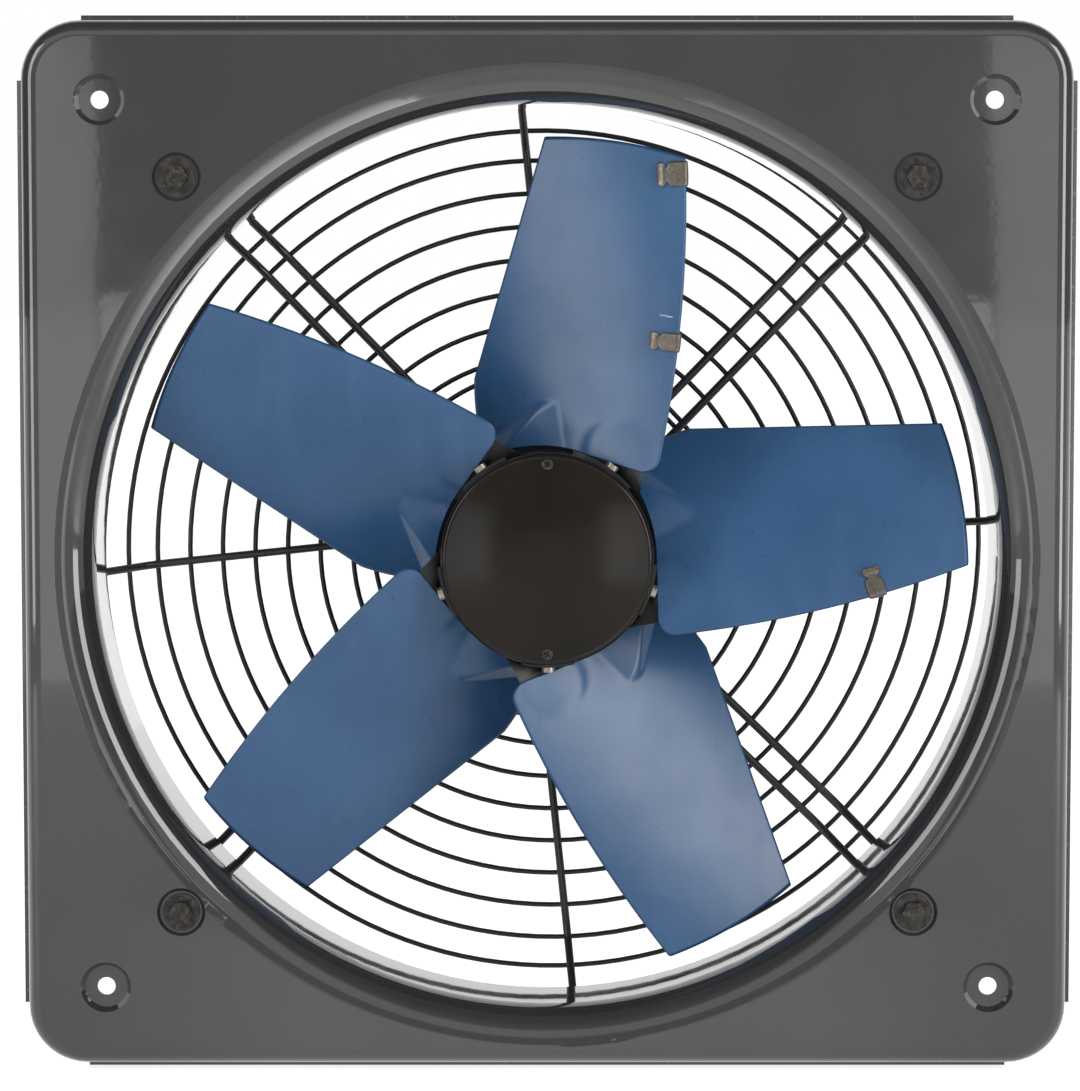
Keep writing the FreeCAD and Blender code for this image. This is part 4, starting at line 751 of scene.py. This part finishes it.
def floor():
    look = Look("pale_floor")
    look.colour((0.8, 0.8, 0.8, 1.0))
    look.rough(0.6)
    glow_level = look.remap(look.noise(3.0, 2.0), 0.3, 0.7, 0.7, 0.72)
    # The floor glows. For camera rays it glows evenly, as the white backdrop. For glossy rays it glows
    # brighter behind the fan and just in front of its middle, and dimmer elsewhere. That shaped glossy glow
    # is painted light in the reflections of the plate and blades.
    ray = look.node("LightPath")
    behind = look.remap(look.axis("Y"), -0.1, 0.1, 0.45, 1.0)
    middle = look.remap(look.math("ABSOLUTE", look.axis("X")), 0.1, 0.3, 1.0, 0.45)
    near = look.math("MINIMUM", middle, look.remap(look.axis("Y"), -0.5, -0.25, 0.45, 1.0))
    mirrored = look.math("MULTIPLY", ray.outputs["Is Glossy Ray"], look.math("MAXIMUM", behind, near))
    seen = look.math("MAXIMUM", ray.outputs["Is Camera Ray"], mirrored)
    look.feed(look.math("MULTIPLY", seen, glow_level), look.bsdf.inputs["Emission Strength"])
    look.bsdf.inputs["Emission Color"].default_value = (1.0, 1.0, 1.0, 1.0)
    mesh = bpy.data.meshes.new("floor")
    z = cad_low.z - FLOOR_GAP
    corners = [(x * FLOOR_REACH, y * FLOOR_REACH, z) for x, y in ((-1, -1), (1, -1), (1, 1), (-1, 1))]
    mesh.from_pydata(corners, [], [(0, 1, 2, 3)])
    mesh.materials.append(look.material)
    made = bpy.data.objects.new("floor", mesh)
    bpy.context.scene.collection.objects.link(made)


def surroundings():
    world = bpy.data.worlds.new("surroundings")
    world.use_nodes = True
    bpy.context.scene.world = world
    tree = world.node_tree
    tree.nodes.clear()
    direction = tree.nodes.new("ShaderNodeTexCoord")
    split = tree.nodes.new("ShaderNodeSeparateXYZ")
    tree.links.new(direction.outputs["Generated"], split.inputs["Vector"])
    ray = tree.nodes.new("ShaderNodeLightPath")
    level = ray.outputs["Is Camera Ray"]

    def joined(operation, first, second):
        made = tree.nodes.new("ShaderNodeMath")
        made.operation = operation
        tree.links.new(first, made.inputs[0])
        tree.links.new(second, made.inputs[1])
        return made.outputs[0]

    def ramp(axis, start, end, first, last):
        made = tree.nodes.new("ShaderNodeMapRange")
        made.interpolation_type = "SMOOTHSTEP"
        for key, value in (("From Min", start), ("From Max", end), ("To Min", first), ("To Max", last)):
            made.inputs[key].default_value = value
        tree.links.new(split.outputs[axis], made.inputs["Value"])
        return made.outputs["Result"]

    high_front = joined("MINIMUM", ramp("Z", 0.2, 0.32, 0.0, 0.9), ramp("Z", 0.58, 0.75, 0.9, 0.0))
    high_front = joined("MINIMUM", high_front, ramp("Y", -0.6, -0.3, 0.9, 0.0))
    for part in (high_front, ramp("Y", -0.88, -0.3, 0.4, 0.12), ramp("Y", 0.3, 0.7, 0.1, 1.0)):
        level = joined("MAXIMUM", level, part)
    back = tree.nodes.new("ShaderNodeBackground")
    back.inputs["Color"].default_value = (1.0, 1.0, 1.0, 1.0)
    out = tree.nodes.new("ShaderNodeOutputWorld")
    tree.links.new(level, back.inputs["Strength"])
    tree.links.new(back.outputs["Background"], out.inputs["Surface"])


def softbox(name, place, aim, width, height, radiance, spread_deg=180.0):
    data = bpy.data.lights.new(name, "AREA")
    data.shape = "RECTANGLE"
    data.size = width
    data.size_y = height
    data.energy = radiance * math.pi * width * height
    data.spread = math.radians(spread_deg)
    made = bpy.data.objects.new(name, data)
    made.location = place
    made.rotation_euler = (Vector(aim) - Vector(place)).to_track_quat("-Z", "Y").to_euler()
    bpy.context.scene.collection.objects.link(made)


def camera(distance, elevation_deg, azimuth_deg, lens, shift_right, shift_up):
    data = bpy.data.cameras.new("camera")
    data.lens = lens
    data.sensor_width = 36.0
    made = bpy.data.objects.new("camera", data)
    bpy.context.scene.collection.objects.link(made)
    rise = math.radians(elevation_deg)
    turn = math.radians(azimuth_deg)
    back = Vector((math.sin(turn) * math.cos(rise), -math.cos(turn) * math.cos(rise), math.sin(rise)))
    rotation = (-back).to_track_quat("-Z", "Y")
    aside = rotation @ Vector((shift_right, shift_up, 0.0))
    made.location = Vector((0.0, FACE_Y * MM, 0.0)) + back * distance + aside
    made.rotation_euler = rotation.to_euler()
    bpy.context.scene.camera = made


floor()
surroundings()
for side in (-1, 1):
    softbox("front_softbox", (side * 0.49, FRONT_LIGHT_Y, 0.06), (side * 0.49, 0.0, 0.06), 0.14, 0.62, 1.0)
    softbox("hub_softbox", (side * 0.34, FRONT_LIGHT_Y, -0.059), (side * 0.34, 0.0, -0.059), 0.15, 0.348, 1.5)
    side_level = 4.3 * (1.0 + 0.2 * side)
    softbox("side_softbox", (side * 1.5, -1.0, 0.5), (0.0, 0.0, 0.2), 0.62, 1.4, side_level)
    low_x = side * LOW_LIGHT_X
    low_y = -0.87 + 0.09 * side
    low_level = 1.8 + 0.8 * side
    softbox("low_softbox", (low_x, low_y, LOW_LIGHT_Z), (low_x, low_y + 0.01, 1.0), 0.92, 0.95, low_level,
            spread_deg=140.0)
camera(distance=1.735, elevation_deg=3.9, azimuth_deg=0.0, lens=121.3, shift_right=-0.0034, shift_up=0.0007)
bpy.context.scene.view_settings.view_transform = "Standard"
